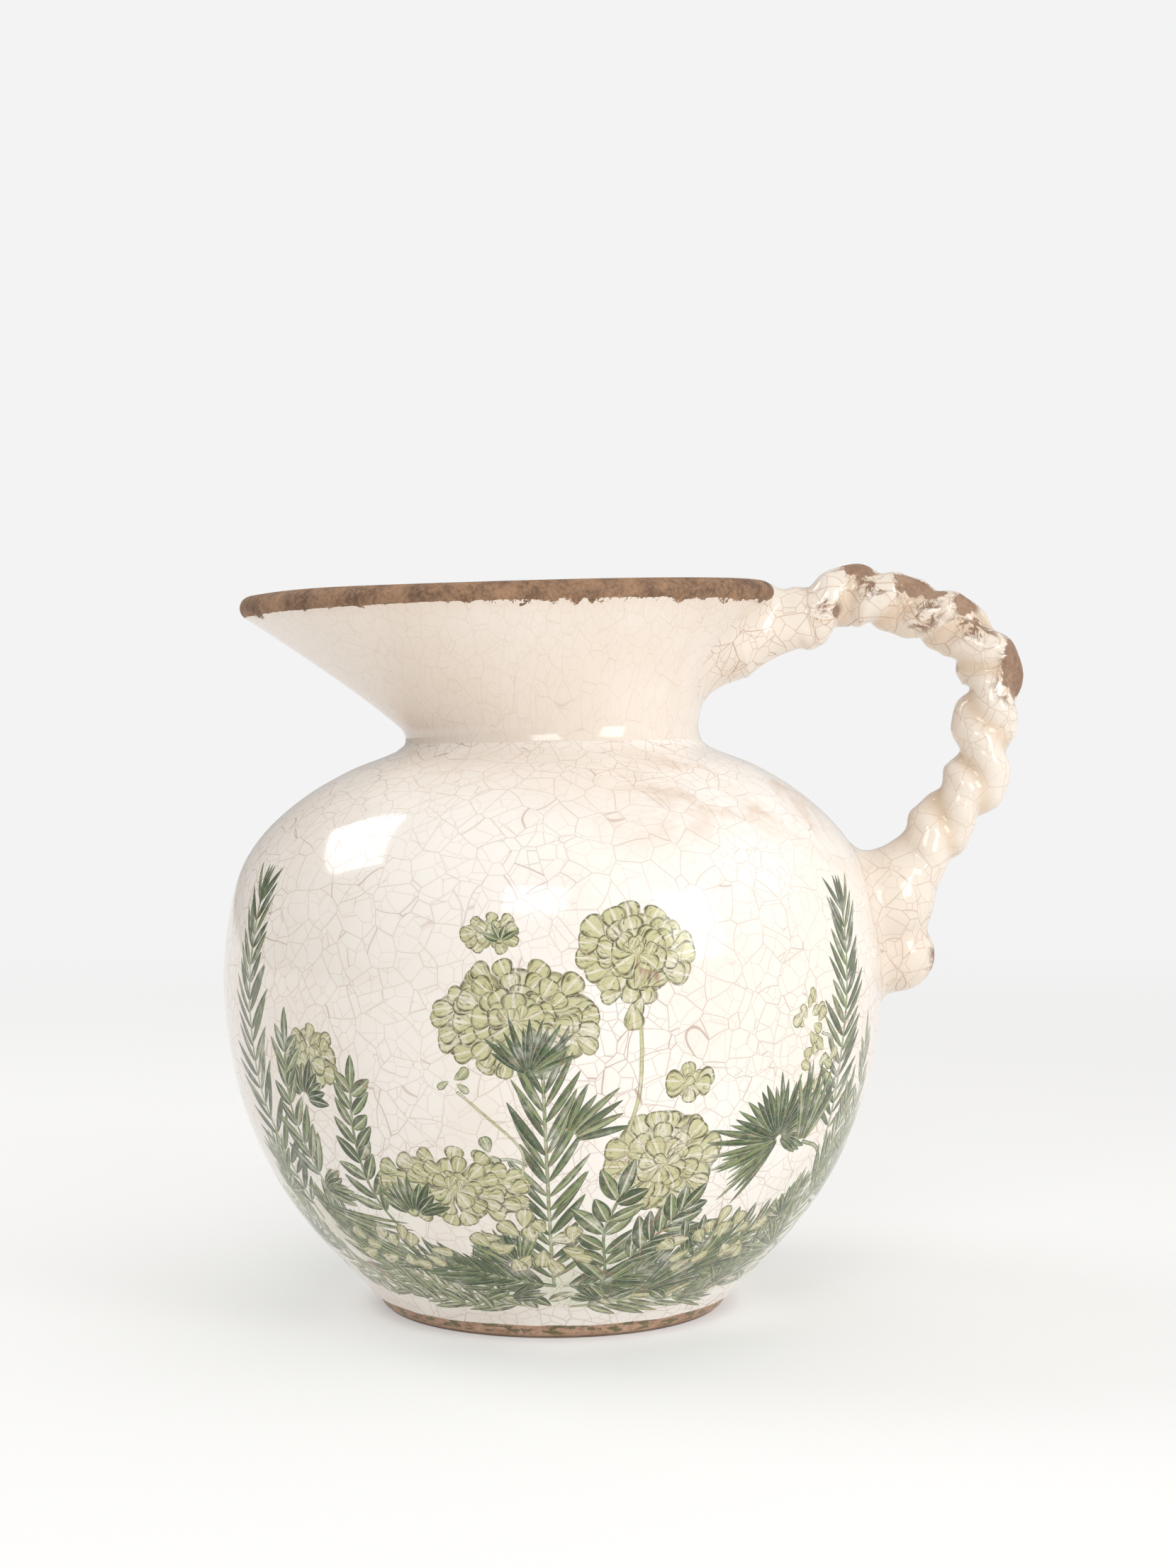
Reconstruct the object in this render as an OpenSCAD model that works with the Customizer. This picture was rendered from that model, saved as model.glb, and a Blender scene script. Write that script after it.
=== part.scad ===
// Round-bellied earthenware jug with a flared collar, a pulled spout and a rope handle.
// Millimetres, +Z up. The origin is the middle of the foot, on the surface it stands on.
// The spout points along -X and the handle along +X.

/* [Globe] */
// Widest diameter of the globe, over the glaze
body_d = 190.4; // [150:0.2:230]
// Height of the crease where the globe meets the collar, on the axis
neck_h = 164.5; // [135:0.5:200]
// Thickness of the thrown clay wall
wall = 5; // [4:0.5:7]
// Thickness of the clay floor
floor_t = 6; // [4:0.5:9]

/* [Foot] */
// Diameter of the foot where it stands
foot_d = 93.6; // [76:0.2:112]
// Height of the turned foot ring
foot_h = 4; // [3:0.5:6]
// Width of the ring's standing face
foot_w = 9; // [6:0.5:12]

/* [Collar] */
// Diameter of the neck at the crease, over the glaze
neck_d = 84; // [68:1:102]
// Height of the rim above the crease, on the axis
collar_h = 42; // [34:0.5:52]
// Reach of the spout tip from the axis
spout_reach = 91; // [72:1:110]
// Reach of the rim from the axis on the handle side
rim_back = 63; // [52:1:76]
// Width of the mouth across the pouring direction
mouth_w = 120; // [96:1:146]
// Thickness of the rounded lip
lip_t = 7; // [6:0.5:8]
// How much the mouth narrows into the spout tip
spout_pinch = 0.35; // [0:0.05:0.5]
// Rise of the rim towards the handle, for each mm along X
rim_slope = 0.022; // [0:0.002:0.04]
// Rise of the crease towards the handle, for each mm along X
crease_slope = 0.016; // [0:0.002:0.03]

/* [Handle] */
// How far the rope's centreline stands out from the globe's widest line
handle_out = 33; // [27:1:40]
// Radius of the rope across its two strands
rope_r = 9.6; // [7.5:0.1:11.3]
// Radius of the rope at the grooves between its strands
groove_r = 7; // [5.6:0.1:7.5]
// Half turns that the strands make along the rope
half_turns = 7.6; // [6:0.2:9.6]
// Height of the lower root above the table, as a share of neck_h
root_level = 0.71; // [0.66:0.01:0.76]
// Radius of the clay pressed around the lower root
root_r = 14; // [12:0.5:17]
// Radius of the rounded button below the root
button_r = 11; // [9:0.5:13]
// How far the lower end of the handle sits off the centre plane
handle_skew = 6; // [0:0.5:9]

/* [Glaze] */
// Thickness of the glaze coat
glaze_t = 0.6; // [0.4:0.1:1]

/* [Hidden] */
$fn = 96;
body_r = body_d / 2;
neck_r = neck_d / 2;
foot_r = foot_d / 2;
lip_r = lip_t / 2;

// Shape of the globe: share of neck_h, then share of the way from foot or neck to the widest line
belly = [[0.036, 0.10], [0.085, 0.265], [0.158, 0.50], [0.243, 0.70], [0.34, 0.855], [0.44, 0.95], [0.585, 1]];
shoulder = [[0.73, 0.94], [0.815, 0.815], [0.8875, 0.59], [0.94, 0.325], [0.975, 0.06]];
curve_steps = 4;   // samples on each span of a curve
neck_spare = 4;    // clay drawn above the crease before the slanted cut

// Collar: the wall leans from rake_back at the handle to rake_spout at the tip, degrees above level
rake_back = 60;
rake_spout = 32;
bend_back = 1.9;   // a higher power keeps the wall upright for longer
bend_spout = 1.13;
columns = 64;
collar_rows = 8;
lip_rows = 6;

// Handle: route points as shares of handle_out beyond the globe and of the height from root to rim
route_shape = [[-0.26, 1.08], [0.30, 1.03], [0.73, 0.945], [0.98, 0.785], [0.9, 0.625], [0.85, 0.45], [0.58, 0.3]];
start_gap = 9;     // length of clay between the rim and the first twist
rope_sides = 10;   // facets round one strand
first_turn = 20;   // where the first strand starts, degrees round the rope
span_steps = 12;   // samples on each span of the route
rope_rings = 60;   // rings along each strand
end_gap = 0.8;     // from the lower root's ball to the end of the strands
root_seat = 3;     // how far the lower root's middle stands outside the glaze
button_seat = 4;   // the same for the button
button_reach = 0.63; // from the root's middle down to the button's, as a share of both radii

// Upper root: an oval patch of the collar, drawn out to the start of the rope
wad_level = 0.72;  // middle of the patch, between the crease (0) and the lip (1)
wad_tall = 0.27;   // half its height on the same scale
wad_wide = 17;     // half its width, degrees round the axis
wad_waist = 0.15;  // how much the wad narrows halfway
wad_sides = 20;
wad_rows = 5;
cap_rows = 3;

// ---- curves ----

function mix(a, b, k) = a + (b - a) * k;
function unit(v) = v / norm(v);

// Catmull-Rom point between b and c
function span_point(a, b, c, d, k) =
    0.5 * (2 * b + (c - a) * k + (2 * a - 5 * b + 4 * c - d) * k * k + (3 * b - a - 3 * c + d) * k * k * k);

// Smooth curve through every point of p, with its ends extended straight
function smooth(p, steps) =
    let (n = len(p), q = concat([2 * p[0] - p[1]], p, [2 * p[n - 1] - p[n - 2]]))
    concat(
        [for (i = [0:n - 2], j = [0:steps - 1]) span_point(q[i], q[i + 1], q[i + 2], q[i + 3], j / steps)],
        [p[n - 1]]
    );

// Direction of curve c at sample i
function heading(c, i) = unit(c[min(i + 1, len(c) - 1)] - c[max(i - 1, 0)]);

// Curve c, drawn upwards in [radius, height], moved towards the inside by d
function inset(c, d) = [for (i = [0:len(c) - 1]) let (h = heading(c, i)) c[i] + d * [-h[1], h[0]]];

// Radius of an upward curve at height z
function radius_at(c, z) = lookup(z, [for (p = c) [p[1], p[0]]]);

// The part of an upward curve above height z
function above(c, z) = concat([[radius_at(c, z), z]], [for (p = c) if (p[1] > z + 0.01) p]);

function reversed(c) = [for (i = [len(c) - 1:-1:0]) c[i]];

// ---- globe ----

outline = smooth(concat(
    [[foot_r, 0]],
    [for (s = belly) [mix(foot_r, body_r, s[1]), s[0] * neck_h]],
    [for (s = shoulder) [mix(neck_r, body_r, s[1]), s[0] * neck_h]],
    [[neck_r, neck_h]]
), curve_steps);

function globe_curve(d) = concat(inset(outline, d), [[neck_r - d, neck_h + neck_spare]]);

glazed = globe_curve(0);
clay_out = globe_curve(glaze_t);
clay_in = globe_curve(glaze_t + wall);
lined = globe_curve(2 * glaze_t + wall);
floor_z = foot_h + floor_t;
lining_z = floor_z + glaze_t;

module below_crease() {
    difference() {
        children();
        rotate([0, -atan(crease_slope), 0])
            translate([-body_r, -body_r, neck_h * cos(atan(crease_slope))])
                cube([2 * body_r, 2 * body_r, body_r]);
    }
}

module globe_solid() {
    rotate_extrude() polygon(concat([[0, 0]], glazed, [[0, neck_h + neck_spare]]));
}

module globe_body() {
    color("tan")
        below_crease()
            rotate_extrude()
                polygon(concat(
                    [[0, foot_h]], above(clay_out, foot_h),
                    reversed(above(clay_in, floor_z)), [[0, floor_z]]
                ));
}

module foot_ring() {
    color("peru")
        rotate_extrude()
            polygon([
                [foot_r - foot_w, 0], [foot_r, 0],
                [radius_at(clay_out, foot_h), foot_h], [foot_r - foot_w - foot_h / 2, foot_h]
            ]);
}

module globe_glaze() {
    color("ivory")
        below_crease()
            rotate_extrude()
                polygon(concat(above(glazed, foot_h), reversed(above(clay_out, foot_h))));
}

module globe_lining() {
    color("ivory")
        below_crease()
            rotate_extrude()
                polygon(concat(
                    [[0, floor_z]], above(clay_in, floor_z),
                    reversed(above(lined, lining_z)), [[0, lining_z]]
                ));
}

// ---- collar ----

mouth_x = (rim_back - spout_reach) / 2;
mouth_a = (rim_back + spout_reach) / 2;

function crease_z(x) = neck_h + crease_slope * x;
function rim_z(x) = neck_h + collar_h + rim_slope * x;
// 0 at the handle, 1 at the spout tip
function lean(f) = (1 - cos(f)) / 2;
function rake(f) = mix(rake_back, rake_spout, lean(f));
function pinch(f) = 1 - spout_pinch * pow(max(0, -cos(f)), 6);

function neck_point(f, d) =
    let (x = (neck_r - d) * cos(f)) [x, (neck_r - d) * sin(f), crease_z(x)];

// Outer edge of the wall, just under the lip
function mouth_point(f) =
    let (
        hang = lip_r * (1 - sin(rake(f))),
        x = mouth_x + (mouth_a - hang) * cos(f),
        y = (mouth_w / 2 - hang) * sin(f) * pinch(f)
    ) [x, y, rim_z(x) - lip_r * (1 + cos(rake(f)))];

// Glazed outside of the collar: f round the axis, t from the crease (0) to the lip (1)
function collar_point(f, t) =
    let (
        a = neck_point(f, 0),
        b = mouth_point(f),
        k = pow(t, mix(bend_back, bend_spout, lean(f)))
    ) [mix(a[0], b[0], k), mix(a[1], b[1], k), mix(a[2], b[2], t)];

function collar_up(f, t) =
    let (e = 0.02) unit(collar_point(f, min(1, t + e)) - collar_point(f, max(0, t - e)));
function collar_out(f, t) =
    let (e = 1) unit(cross(collar_point(f + e, t) - collar_point(f - e, t), collar_up(f, t)));

// The same surface, d deeper in the wall
function collar_inside(f, t, d) = t == 0 ? neck_point(f, d) : collar_point(f, t) - d * collar_out(f, t);

function clay_depth(t) = glaze_t + mix(wall, lip_t - 2 * glaze_t, t);

angles = [for (j = [0:columns - 1]) 360 * j / columns];
levels = [for (i = [0:collar_rows]) i / collar_rows];

function lip_point(f, a) =
    let (o = collar_out(f, 1), c = collar_point(f, 1) - lip_r * o)
    c + lip_r * (cos(a) * o + sin(a) * collar_up(f, 1));

// Closed ring of rows: up the outside, then down the inside. Rows from turn on are split the other way.
module ring_loft(rows, turn) {
    n = len(rows);
    m = len(rows[0]);
    polyhedron(
        points = [for (r = rows, p = r) p],
        faces = [
            for (i = [0:n - 1], j = [0:m - 1])
                let (
                    a = i * m + j, b = i * m + (j + 1) % m,
                    d = (i + 1) % n * m + j, c = (i + 1) % n * m + (j + 1) % m
                )
                each (i < turn ? [[a, c, b], [a, d, c]] : [[a, d, b], [b, d, c]])
        ]
    );
}

module neck_collar() {
    color("tan")
        ring_loft(concat(
            [for (t = levels) [for (f = angles) collar_inside(f, t, glaze_t)]],
            [for (i = [0:lip_rows]) [for (f = angles) lip_point(f, 180 * i / lip_rows)]],
            [for (t = reversed(levels)) [for (f = angles) collar_inside(f, t, clay_depth(t))]]
        ), collar_rows + lip_rows + 1);
}

module collar_glaze() {
    color("ivory")
        ring_loft(concat(
            [for (t = levels) [for (f = angles) collar_inside(f, t, 0)]],
            [for (t = reversed(levels)) [for (f = angles) collar_inside(f, t, glaze_t)]]
        ), collar_rows);
}

module collar_lining() {
    color("ivory")
        ring_loft(concat(
            [for (t = levels) [for (f = angles) collar_inside(f, t, clay_depth(t))]],
            [for (t = reversed(levels)) [for (f = angles) collar_inside(f, t, clay_depth(t) + glaze_t)]]
        ), collar_rows);
}

// ---- handle ----

root_z = root_level * neck_h;
root_at = [radius_at(glazed, root_z) + root_seat, -handle_skew, root_z];
button_z = root_z - button_reach * (root_r + button_r);
rope_start = [rim_back + start_gap, 0, rim_z(rim_back) - rope_r];
rope_end = root_at + (root_r + end_gap) * unit([0.8, 0, 1]);

rope_curve = smooth(concat(
    [rope_start],
    [for (s = route_shape) [
        body_r + handle_out * s[0],
        -handle_skew * (1 - min(1, s[1])),
        mix(root_z, rope_start[2], s[1])
    ]],
    [rope_end]
), span_steps);

// The same curve at equal steps of its length
rope_far = [
    for (i = 0, d = 0; i < len(rope_curve);
        d = d + (i + 1 < len(rope_curve) ? norm(rope_curve[i + 1] - rope_curve[i]) : 0), i = i + 1) d
];
rope_route = [
    for (k = [0:rope_rings])
        let (d = rope_far[len(rope_far) - 1] * k / rope_rings)
        [for (axis = [0:2]) lookup(d, [for (i = [0:len(rope_far) - 1]) [rope_far[i], rope_curve[i][axis]]])]
];

// Frame across the rope at sample i: outwards in the handle's plane, then sideways
function rope_side(i) = unit(cross(heading(rope_route, i), [0, 1, 0]));
function rope_front(i) = cross(rope_side(i), heading(rope_route, i));

// The two strands make an outline with two lobes, split down its waist
function lobe(a) = mix(groove_r, rope_r, (1 + cos(2 * a)) / 2);
function strand_point(i, a, turn) =
    let (w = turn + first_turn + 180 * half_turns * i / rope_rings)
    rope_route[i] + lobe(a) * (cos(a + w) * rope_side(i) + sin(a + w) * rope_front(i));

module strand(turn) {
    n = len(rope_route);
    m = rope_sides + 1;
    polyhedron(
        points = [for (i = [0:n - 1], j = [0:m - 1]) strand_point(i, -90 + 180 * j / rope_sides, turn)],
        faces = concat(
            [[for (j = [m - 1:-1:0]) j], [for (j = [0:m - 1]) (n - 1) * m + j]],
            [for (i = [0:n - 2], j = [0:m - 2])
                let (a = i * m + j) each [[a, a + 1, a + m + 1], [a, a + m + 1, a + m]]],
            // The flat side, always split from this ring's first strand edge
            [for (i = [0:n - 2])
                let (a = i * m, b = a + m - 1)
                each (turn == 0 ? [[a, a + m, b], [b, a + m, b + m]] : [[a, b + m, b], [a, a + m, b + m]])]
        )
    );
}

module handle_strand_1() {
    color("linen") strand(0);
}

module handle_strand_2() {
    color("linen") strand(180);
}

// Clay wad that carries the rope's start out of the collar

function wad_foot(a, k) = collar_point(wad_wide * k * sin(a), wad_level + wad_tall * k * cos(a));
function wad_face(a) =
    rope_start + rope_r * (cos(a) * rope_side(0) + sin(a) * rope_front(0));

// From the collar (0) to the rope (1), drawn in towards the wad's own middle line on the way
function wad_side(a, k) =
    let (p = mix(wad_foot(a, 1), wad_face(a), k), middle = mix(wad_foot(0, 0), rope_start, k))
    mix(p, middle, wad_waist * k * (1 - k));

module upper_handle_root() {
    ring = [for (j = [0:wad_sides - 1]) 360 * j / wad_sides];
    rows = concat(
        [for (i = [1:cap_rows]) [for (a = ring) wad_foot(a, i / cap_rows)]],
        [for (i = [1:wad_rows]) [for (a = ring) wad_side(a, i / wad_rows)]]
    );
    n = len(rows);
    m = wad_sides;
    color("linen")
        polyhedron(
            points = concat([for (r = rows, p = r) p], [wad_foot(0, 0)]),
            faces = concat(
                [for (i = [0:n - 2], j = [0:m - 1])
                    let (a = i * m + j, b = i * m + (j + 1) % m)
                    each [[a, b + m, a + m], [a, b, b + m]]],
                [for (j = [0:m - 1]) [n * m, (j + 1) % m, j]],
                [[for (j = [0:m - 1]) (n - 1) * m + j]]
            )
        );
}

module root_ball() {
    translate(root_at) sphere(root_r);
}

module lower_handle_root() {
    last = len(rope_route) - 1;
    h = heading(rope_route, last);
    color("linen")
        difference() {
            union() {
                root_ball();
                translate(rope_end)
                    rotate([0, acos(h[2]), atan2(h[1], h[0])])
                        cylinder(h = root_r, r = rope_r);
            }
            globe_solid();
        }
}

module handle_button() {
    color("linen")
        difference() {
            translate([radius_at(glazed, button_z) + button_seat, -handle_skew, button_z]) sphere(button_r);
            root_ball();
            globe_solid();
        }
}

globe_body();
foot_ring();
neck_collar();
globe_glaze();
collar_glaze();
globe_lining();
collar_lining();
upper_handle_root();
handle_strand_1();
handle_strand_2();
lower_handle_root();
handle_button();
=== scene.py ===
import math
import random

import bpy
import numpy as np
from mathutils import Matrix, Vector
from mathutils.geometry import delaunay_2d_cdt


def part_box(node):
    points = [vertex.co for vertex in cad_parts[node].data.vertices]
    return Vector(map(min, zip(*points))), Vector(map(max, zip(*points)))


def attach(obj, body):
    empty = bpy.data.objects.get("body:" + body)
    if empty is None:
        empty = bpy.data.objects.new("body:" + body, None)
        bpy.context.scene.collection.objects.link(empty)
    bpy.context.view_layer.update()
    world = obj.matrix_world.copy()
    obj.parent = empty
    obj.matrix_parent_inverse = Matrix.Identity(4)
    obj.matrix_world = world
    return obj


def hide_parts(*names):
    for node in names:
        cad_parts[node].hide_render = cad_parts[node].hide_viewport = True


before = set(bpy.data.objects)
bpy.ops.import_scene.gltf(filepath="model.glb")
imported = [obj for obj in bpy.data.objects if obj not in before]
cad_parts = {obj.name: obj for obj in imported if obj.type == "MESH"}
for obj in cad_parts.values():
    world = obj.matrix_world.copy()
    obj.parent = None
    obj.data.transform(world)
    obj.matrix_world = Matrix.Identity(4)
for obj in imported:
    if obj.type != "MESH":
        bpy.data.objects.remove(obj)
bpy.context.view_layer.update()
scene = bpy.context.scene
mm = 0.001

# Lengths below are in millimetres, and angles round the jug are degrees from its front,
# the -Y side, towards the handle at +X.


def boxMm(node):
    low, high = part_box(node)
    return np.array(low) / mm, np.array(high) / mm


glazeHigh = boxMm("globe_glaze")[1]
footHigh = boxMm("foot_ring")[1]
collarLow, collarHigh = boxMm("neck_collar")

jug = {
    "bodyR": min(glazeHigh[0], glazeHigh[1]),
    "footR": min(footHigh[0], footHigh[1]),
    "footH": footHigh[2],
    "neckR": 42.0,
    "neckH": 164.5,
    "collarH": 42.0,
    "wall": 6.2,          # clay and both glaze coats
    "floorZ": 10.6,
    "creaseSlope": 0.016,  # rise of the crease for each mm towards the handle
    "rimSlope": 0.022,
    "tiltLow": 110.0,     # the wall starts to lean with the crease at this height
}
print("frame loaded, globe radius", round(float(jug["bodyR"]), 2))


view = {"away": 715.6, "aside": 10.1, "height": 163.7, "lens": 56.5, "down": 1.09}


def addCamera():
    data = bpy.data.cameras.new("studioCamera")
    data.lens = view["lens"]
    data.clip_start = 0.01
    data.clip_end = 30.0
    camera = bpy.data.objects.new("studioCamera", data)
    camera.location = Vector((view["aside"], -view["away"], view["height"])) * mm
    camera.rotation_euler = (math.radians(90 - view["down"]), 0, 0)
    scene.collection.objects.link(camera)
    scene.camera = camera


addCamera()
print("camera set")


def mix(a, b, k):
    return a + (b - a) * k


def smoothStep(value, low, high):
    k = np.clip((value - low) / (high - low), 0, 1)
    return k * k * (3 - 2 * k)


def unit(v):
    return v / np.maximum(np.linalg.norm(v, axis=-1, keepdims=True), 1e-12)


def smoothCurve(points, steps):
    p = np.array(points, float)
    q = np.vstack([2 * p[0] - p[1], p, 2 * p[-1] - p[-2]])
    k = (np.arange(steps) / steps)[:, None]
    spans = []
    for a, b, c, d in zip(q[:-3], q[1:-2], q[2:-1], q[3:]):
        spans.append(0.5 * (2 * b + (c - a) * k + (2 * a - 5 * b + 4 * c - d) * k**2
                            + (3 * b - a - 3 * c + d) * k**3))
    return np.vstack(spans + [p[-1:]])


def roundAngles(count):
    return np.linspace(0, 2 * math.pi, count, endpoint=False)


def bowed(a, b, c, k):
    # from a to c, drawn towards b on the way
    return (1 - k)**2 * a + 2 * k * (1 - k) * b + k**2 * c


def lengthAlong(curve):
    steps = np.linalg.norm(np.diff(curve, axis=0), axis=1)
    return np.concatenate([[0], np.cumsum(steps)])


def alongCurve(curve, count):
    far = lengthAlong(curve)
    even = np.linspace(0, far[-1], count)
    return np.stack([np.interp(even, far, curve[:, i]) for i in range(curve.shape[1])], 1)


def ripple(angle, height, seed):
    # slow unevenness of hand-thrown clay, from -1 to 1; angle in radians
    return (0.5 * np.sin(2 * angle + 0.021 * height + seed)
            + 0.3 * np.sin(3 * angle - 0.034 * height + 2.3 * seed)
            + 0.2 * np.sin(5 * angle + 0.055 * height + 4.1 * seed))


def makeObject(name, points, faces, material, uv=None, normals=None):
    mesh = bpy.data.meshes.new(name)
    mesh.from_pydata((np.asarray(points) * mm).tolist(), [], [list(map(int, f)) for f in faces])
    mesh.materials.append(material)
    mesh.polygons.foreach_set("use_smooth", [True] * len(mesh.polygons))
    if uv is not None:
        corner = np.zeros(len(mesh.loops), int)
        mesh.loops.foreach_get("vertex_index", corner)
        layer = mesh.uv_layers.new(name="OFBake")
        spread = np.asarray(uv)[corner] if len(uv) == len(points) else np.asarray(uv)
        layer.data.foreach_set("uv", spread.astype(np.float32).ravel())
    mesh.update()
    if normals is not None:
        mesh.normals_split_custom_set_from_vertices([tuple(n) for n in normals])
    made = bpy.data.objects.new(name, mesh)
    scene.collection.objects.link(made)
    return made


def pointValues(made, name, values):
    attribute = made.data.attributes.new(name, "FLOAT", "POINT")
    attribute.data.foreach_set("value", np.asarray(values, np.float32))


def ringFaces(rows, columns):
    # quads of a grid whose rows run up the outside and whose columns go round
    faces = []
    for i in range(rows - 1):
        for j in range(columns):
            a, b = i * columns + j, i * columns + (j + 1) % columns
            faces.append((a, b, b + columns, a + columns))
    return faces


def gridUv(rows, columns):
    # one uv for each corner, so that the last column doesn't fold back
    out = []
    for i in range(rows - 1):
        for j in range(columns):
            for r, c in ((i, j), (i, j + 1), (i + 1, j + 1), (i + 1, j)):
                out.append((c / columns, r / (rows - 1)))
    return out


def capUv(angle, level):
    # a tiny circle of uv for a cap face
    return [(0.5 + 0.001 * math.cos(t), level + 0.001 * math.sin(t)) for t in angle]


def turnedOver(rows, columns):
    # faces and corner uv of a grid that is seen from its other side
    corners = gridUv(rows, columns)
    uv = []
    for k in range(0, len(corners), 4):
        uv += corners[k:k + 4][::-1]
    return [f[::-1] for f in ringFaces(rows, columns)], uv


def spun(profile, angle):
    # points of each ring of a profile of (radius, height), turned round the jug's middle
    return np.stack([np.outer(profile[:, 0], np.cos(angle)), np.outer(profile[:, 0], np.sin(angle)),
                     np.outer(profile[:, 1], np.ones_like(angle))], -1)


def feed(tree, node, inputs):
    # each input gets a link from another node's output, or a plain value
    for key, value in inputs.items():
        if isinstance(value, bpy.types.NodeSocket):
            tree.links.new(value, node.inputs[key])
        else:
            node.inputs[key].default_value = value


def put(tree, kind, inputs=None, **settings):
    made = tree.nodes.new(kind)
    for key, value in settings.items():
        setattr(made, key, value)
    feed(tree, made, inputs or {})
    return made


def sums(tree, operation, *values):
    return put(tree, "ShaderNodeMath", dict(enumerate(values)), operation=operation).outputs[0]


def times(tree, a, b):
    return sums(tree, "MULTIPLY", a, b)


def plus(tree, a, b):
    return sums(tree, "ADD", a, b)


def vectorSum(tree, operation, a, b):
    second = "Scale" if operation == "SCALE" else 1
    return put(tree, "ShaderNodeVectorMath", {0: a, second: b}, operation=operation).outputs[0]


def between(tree, value, low, high, start=0.0, end=1.0):
    made = put(tree, "ShaderNodeMapRange", {"Value": value, "From Min": low, "From Max": high,
                                            "To Min": start, "To Max": end},
               interpolation_type="SMOOTHSTEP")
    return made.outputs["Result"]


def blendColour(tree, factor, a, b, mode="MIX"):
    made = put(tree, "ShaderNodeMix", {0: factor, 6: a, 7: b}, data_type="RGBA", blend_type=mode,
               clamp_factor=True)
    return made.outputs[2]


def overlay(tree, base, colour, mask, share):
    # lays a colour over the base where the mask is, at this share of full strength
    return blendColour(tree, times(tree, mask, share), base, colour)


def mixValue(tree, a, b, factor):
    return put(tree, "ShaderNodeMix", {0: factor, 2: a, 3: b}, data_type="FLOAT").outputs[0]


def noise(tree, vector, scale, detail=2.0, roughness=0.5, distortion=0.0, output="Fac"):
    made = put(tree, "ShaderNodeTexNoise", {"Vector": vector, "Scale": scale, "Detail": detail,
                                            "Roughness": roughness, "Distortion": distortion})
    return made.outputs[output]


def startGroup(name, inputs, outputs):
    # an input that starts as a tuple is a vector, and all the rest are values
    group = bpy.data.node_groups.new(name, "ShaderNodeTree")
    for label, value in inputs.items():
        kind = "NodeSocketVector" if isinstance(value, tuple) else "NodeSocketFloat"
        group.interface.new_socket(label, in_out="INPUT", socket_type=kind).default_value = value
    for label in outputs:
        group.interface.new_socket(label, in_out="OUTPUT", socket_type="NodeSocketFloat")
    given = group.nodes.new("NodeGroupInput").outputs
    result = group.nodes.new("NodeGroupOutput").inputs
    return group, given, result


def endGroup(group, result, outputs):
    for label, value in outputs.items():
        group.links.new(value, result[label])
    return group


def useGroup(tree, group, inputs):
    made = tree.nodes.new("ShaderNodeGroup")
    made.node_tree = group
    feed(tree, made, inputs)
    return made.outputs


def crackleGroup():
    # long cracks, and short ones that stop where they meet a long one
    group, given, result = startGroup(
        "glazeCrackle", {"Point": (0, 0, 0), "Cell": 110.0, "Width": 0.018, "Stretch": (1, 1, 1)},
        ["Lines", "Halo"])

    def cracks(vector, scale):
        return put(group, "ShaderNodeTexVoronoi", {"Vector": vector, "Scale": scale},
                   feature="DISTANCE_TO_EDGE").outputs["Distance"]

    wander = noise(group, given["Point"], 45.0, 1.0, output="Color")
    drift = vectorSum(group, "SCALE", vectorSum(group, "SUBTRACT", wander, (0.5, 0.5, 0.5)), 0.007)
    point = vectorSum(group, "MULTIPLY", vectorSum(group, "ADD", given["Point"], drift), given["Stretch"])
    coarse = cracks(point, given["Cell"])
    patch = put(group, "ShaderNodeTexVoronoi", {"Vector": point, "Scale": given["Cell"]},
                feature="F1").outputs["Color"]
    moved = vectorSum(group, "ADD", point, vectorSum(group, "SCALE", patch, 3.0))
    fine = cracks(moved, times(group, given["Cell"], 1.55))
    strong = between(group, noise(group, given["Point"], 34.0, 2.0), 0.35, 0.62)
    fineLine = times(group, between(group, fine, times(group, given["Width"], 1.2), 0.0),
                     mixValue(group, 0.35, 0.9, strong))
    lines = sums(group, "MAXIMUM", between(group, coarse, given["Width"], 0.0), fineLine)
    near = sums(group, "MINIMUM", coarse, fine)
    halo = between(group, near, times(group, given["Width"], 6.0), 0.0)
    return endGroup(group, result, {"Lines": lines, "Halo": halo})


def clayGroup():
    # grain of bare fired clay: colour from 0 to 1, and height
    group, given, result = startGroup("clayGrain", {"Point": (0, 0, 0)}, ["Shade", "Height"])
    blotch = noise(group, given["Point"], 120.0, 4.0, 0.6)
    grit = noise(group, given["Point"], 900.0, 3.0, 0.7)
    return endGroup(group, result, {"Shade": mixValue(group, blotch, grit, 0.45),
                                    "Height": mixValue(group, grit, blotch, 0.3)})


def edgeGroup():
    # turns a distance in mm into a ragged mask: 1 on the clay side, 0 on the glaze
    group, given, result = startGroup(
        "raggedEdge", {"Point": (0, 0, 0), "Distance": 0.0, "Ragged": 1.0, "Soft": 0.4},
        ["Mask", "Rolled"])
    big = noise(group, given["Point"], 210.0, 5.0, 0.72)
    wave = times(group, sums(group, "SUBTRACT", big, 0.5), times(group, given["Ragged"], 8.0))
    shifted = plus(group, given["Distance"], wave)
    rolled = sums(group, "SUBTRACT", between(group, shifted, 2.2, 0.3), between(group, shifted, 0.3, 0.0))
    return endGroup(group, result, {"Mask": between(group, shifted, given["Soft"], 0.0),
                                    "Rolled": rolled})


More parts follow.
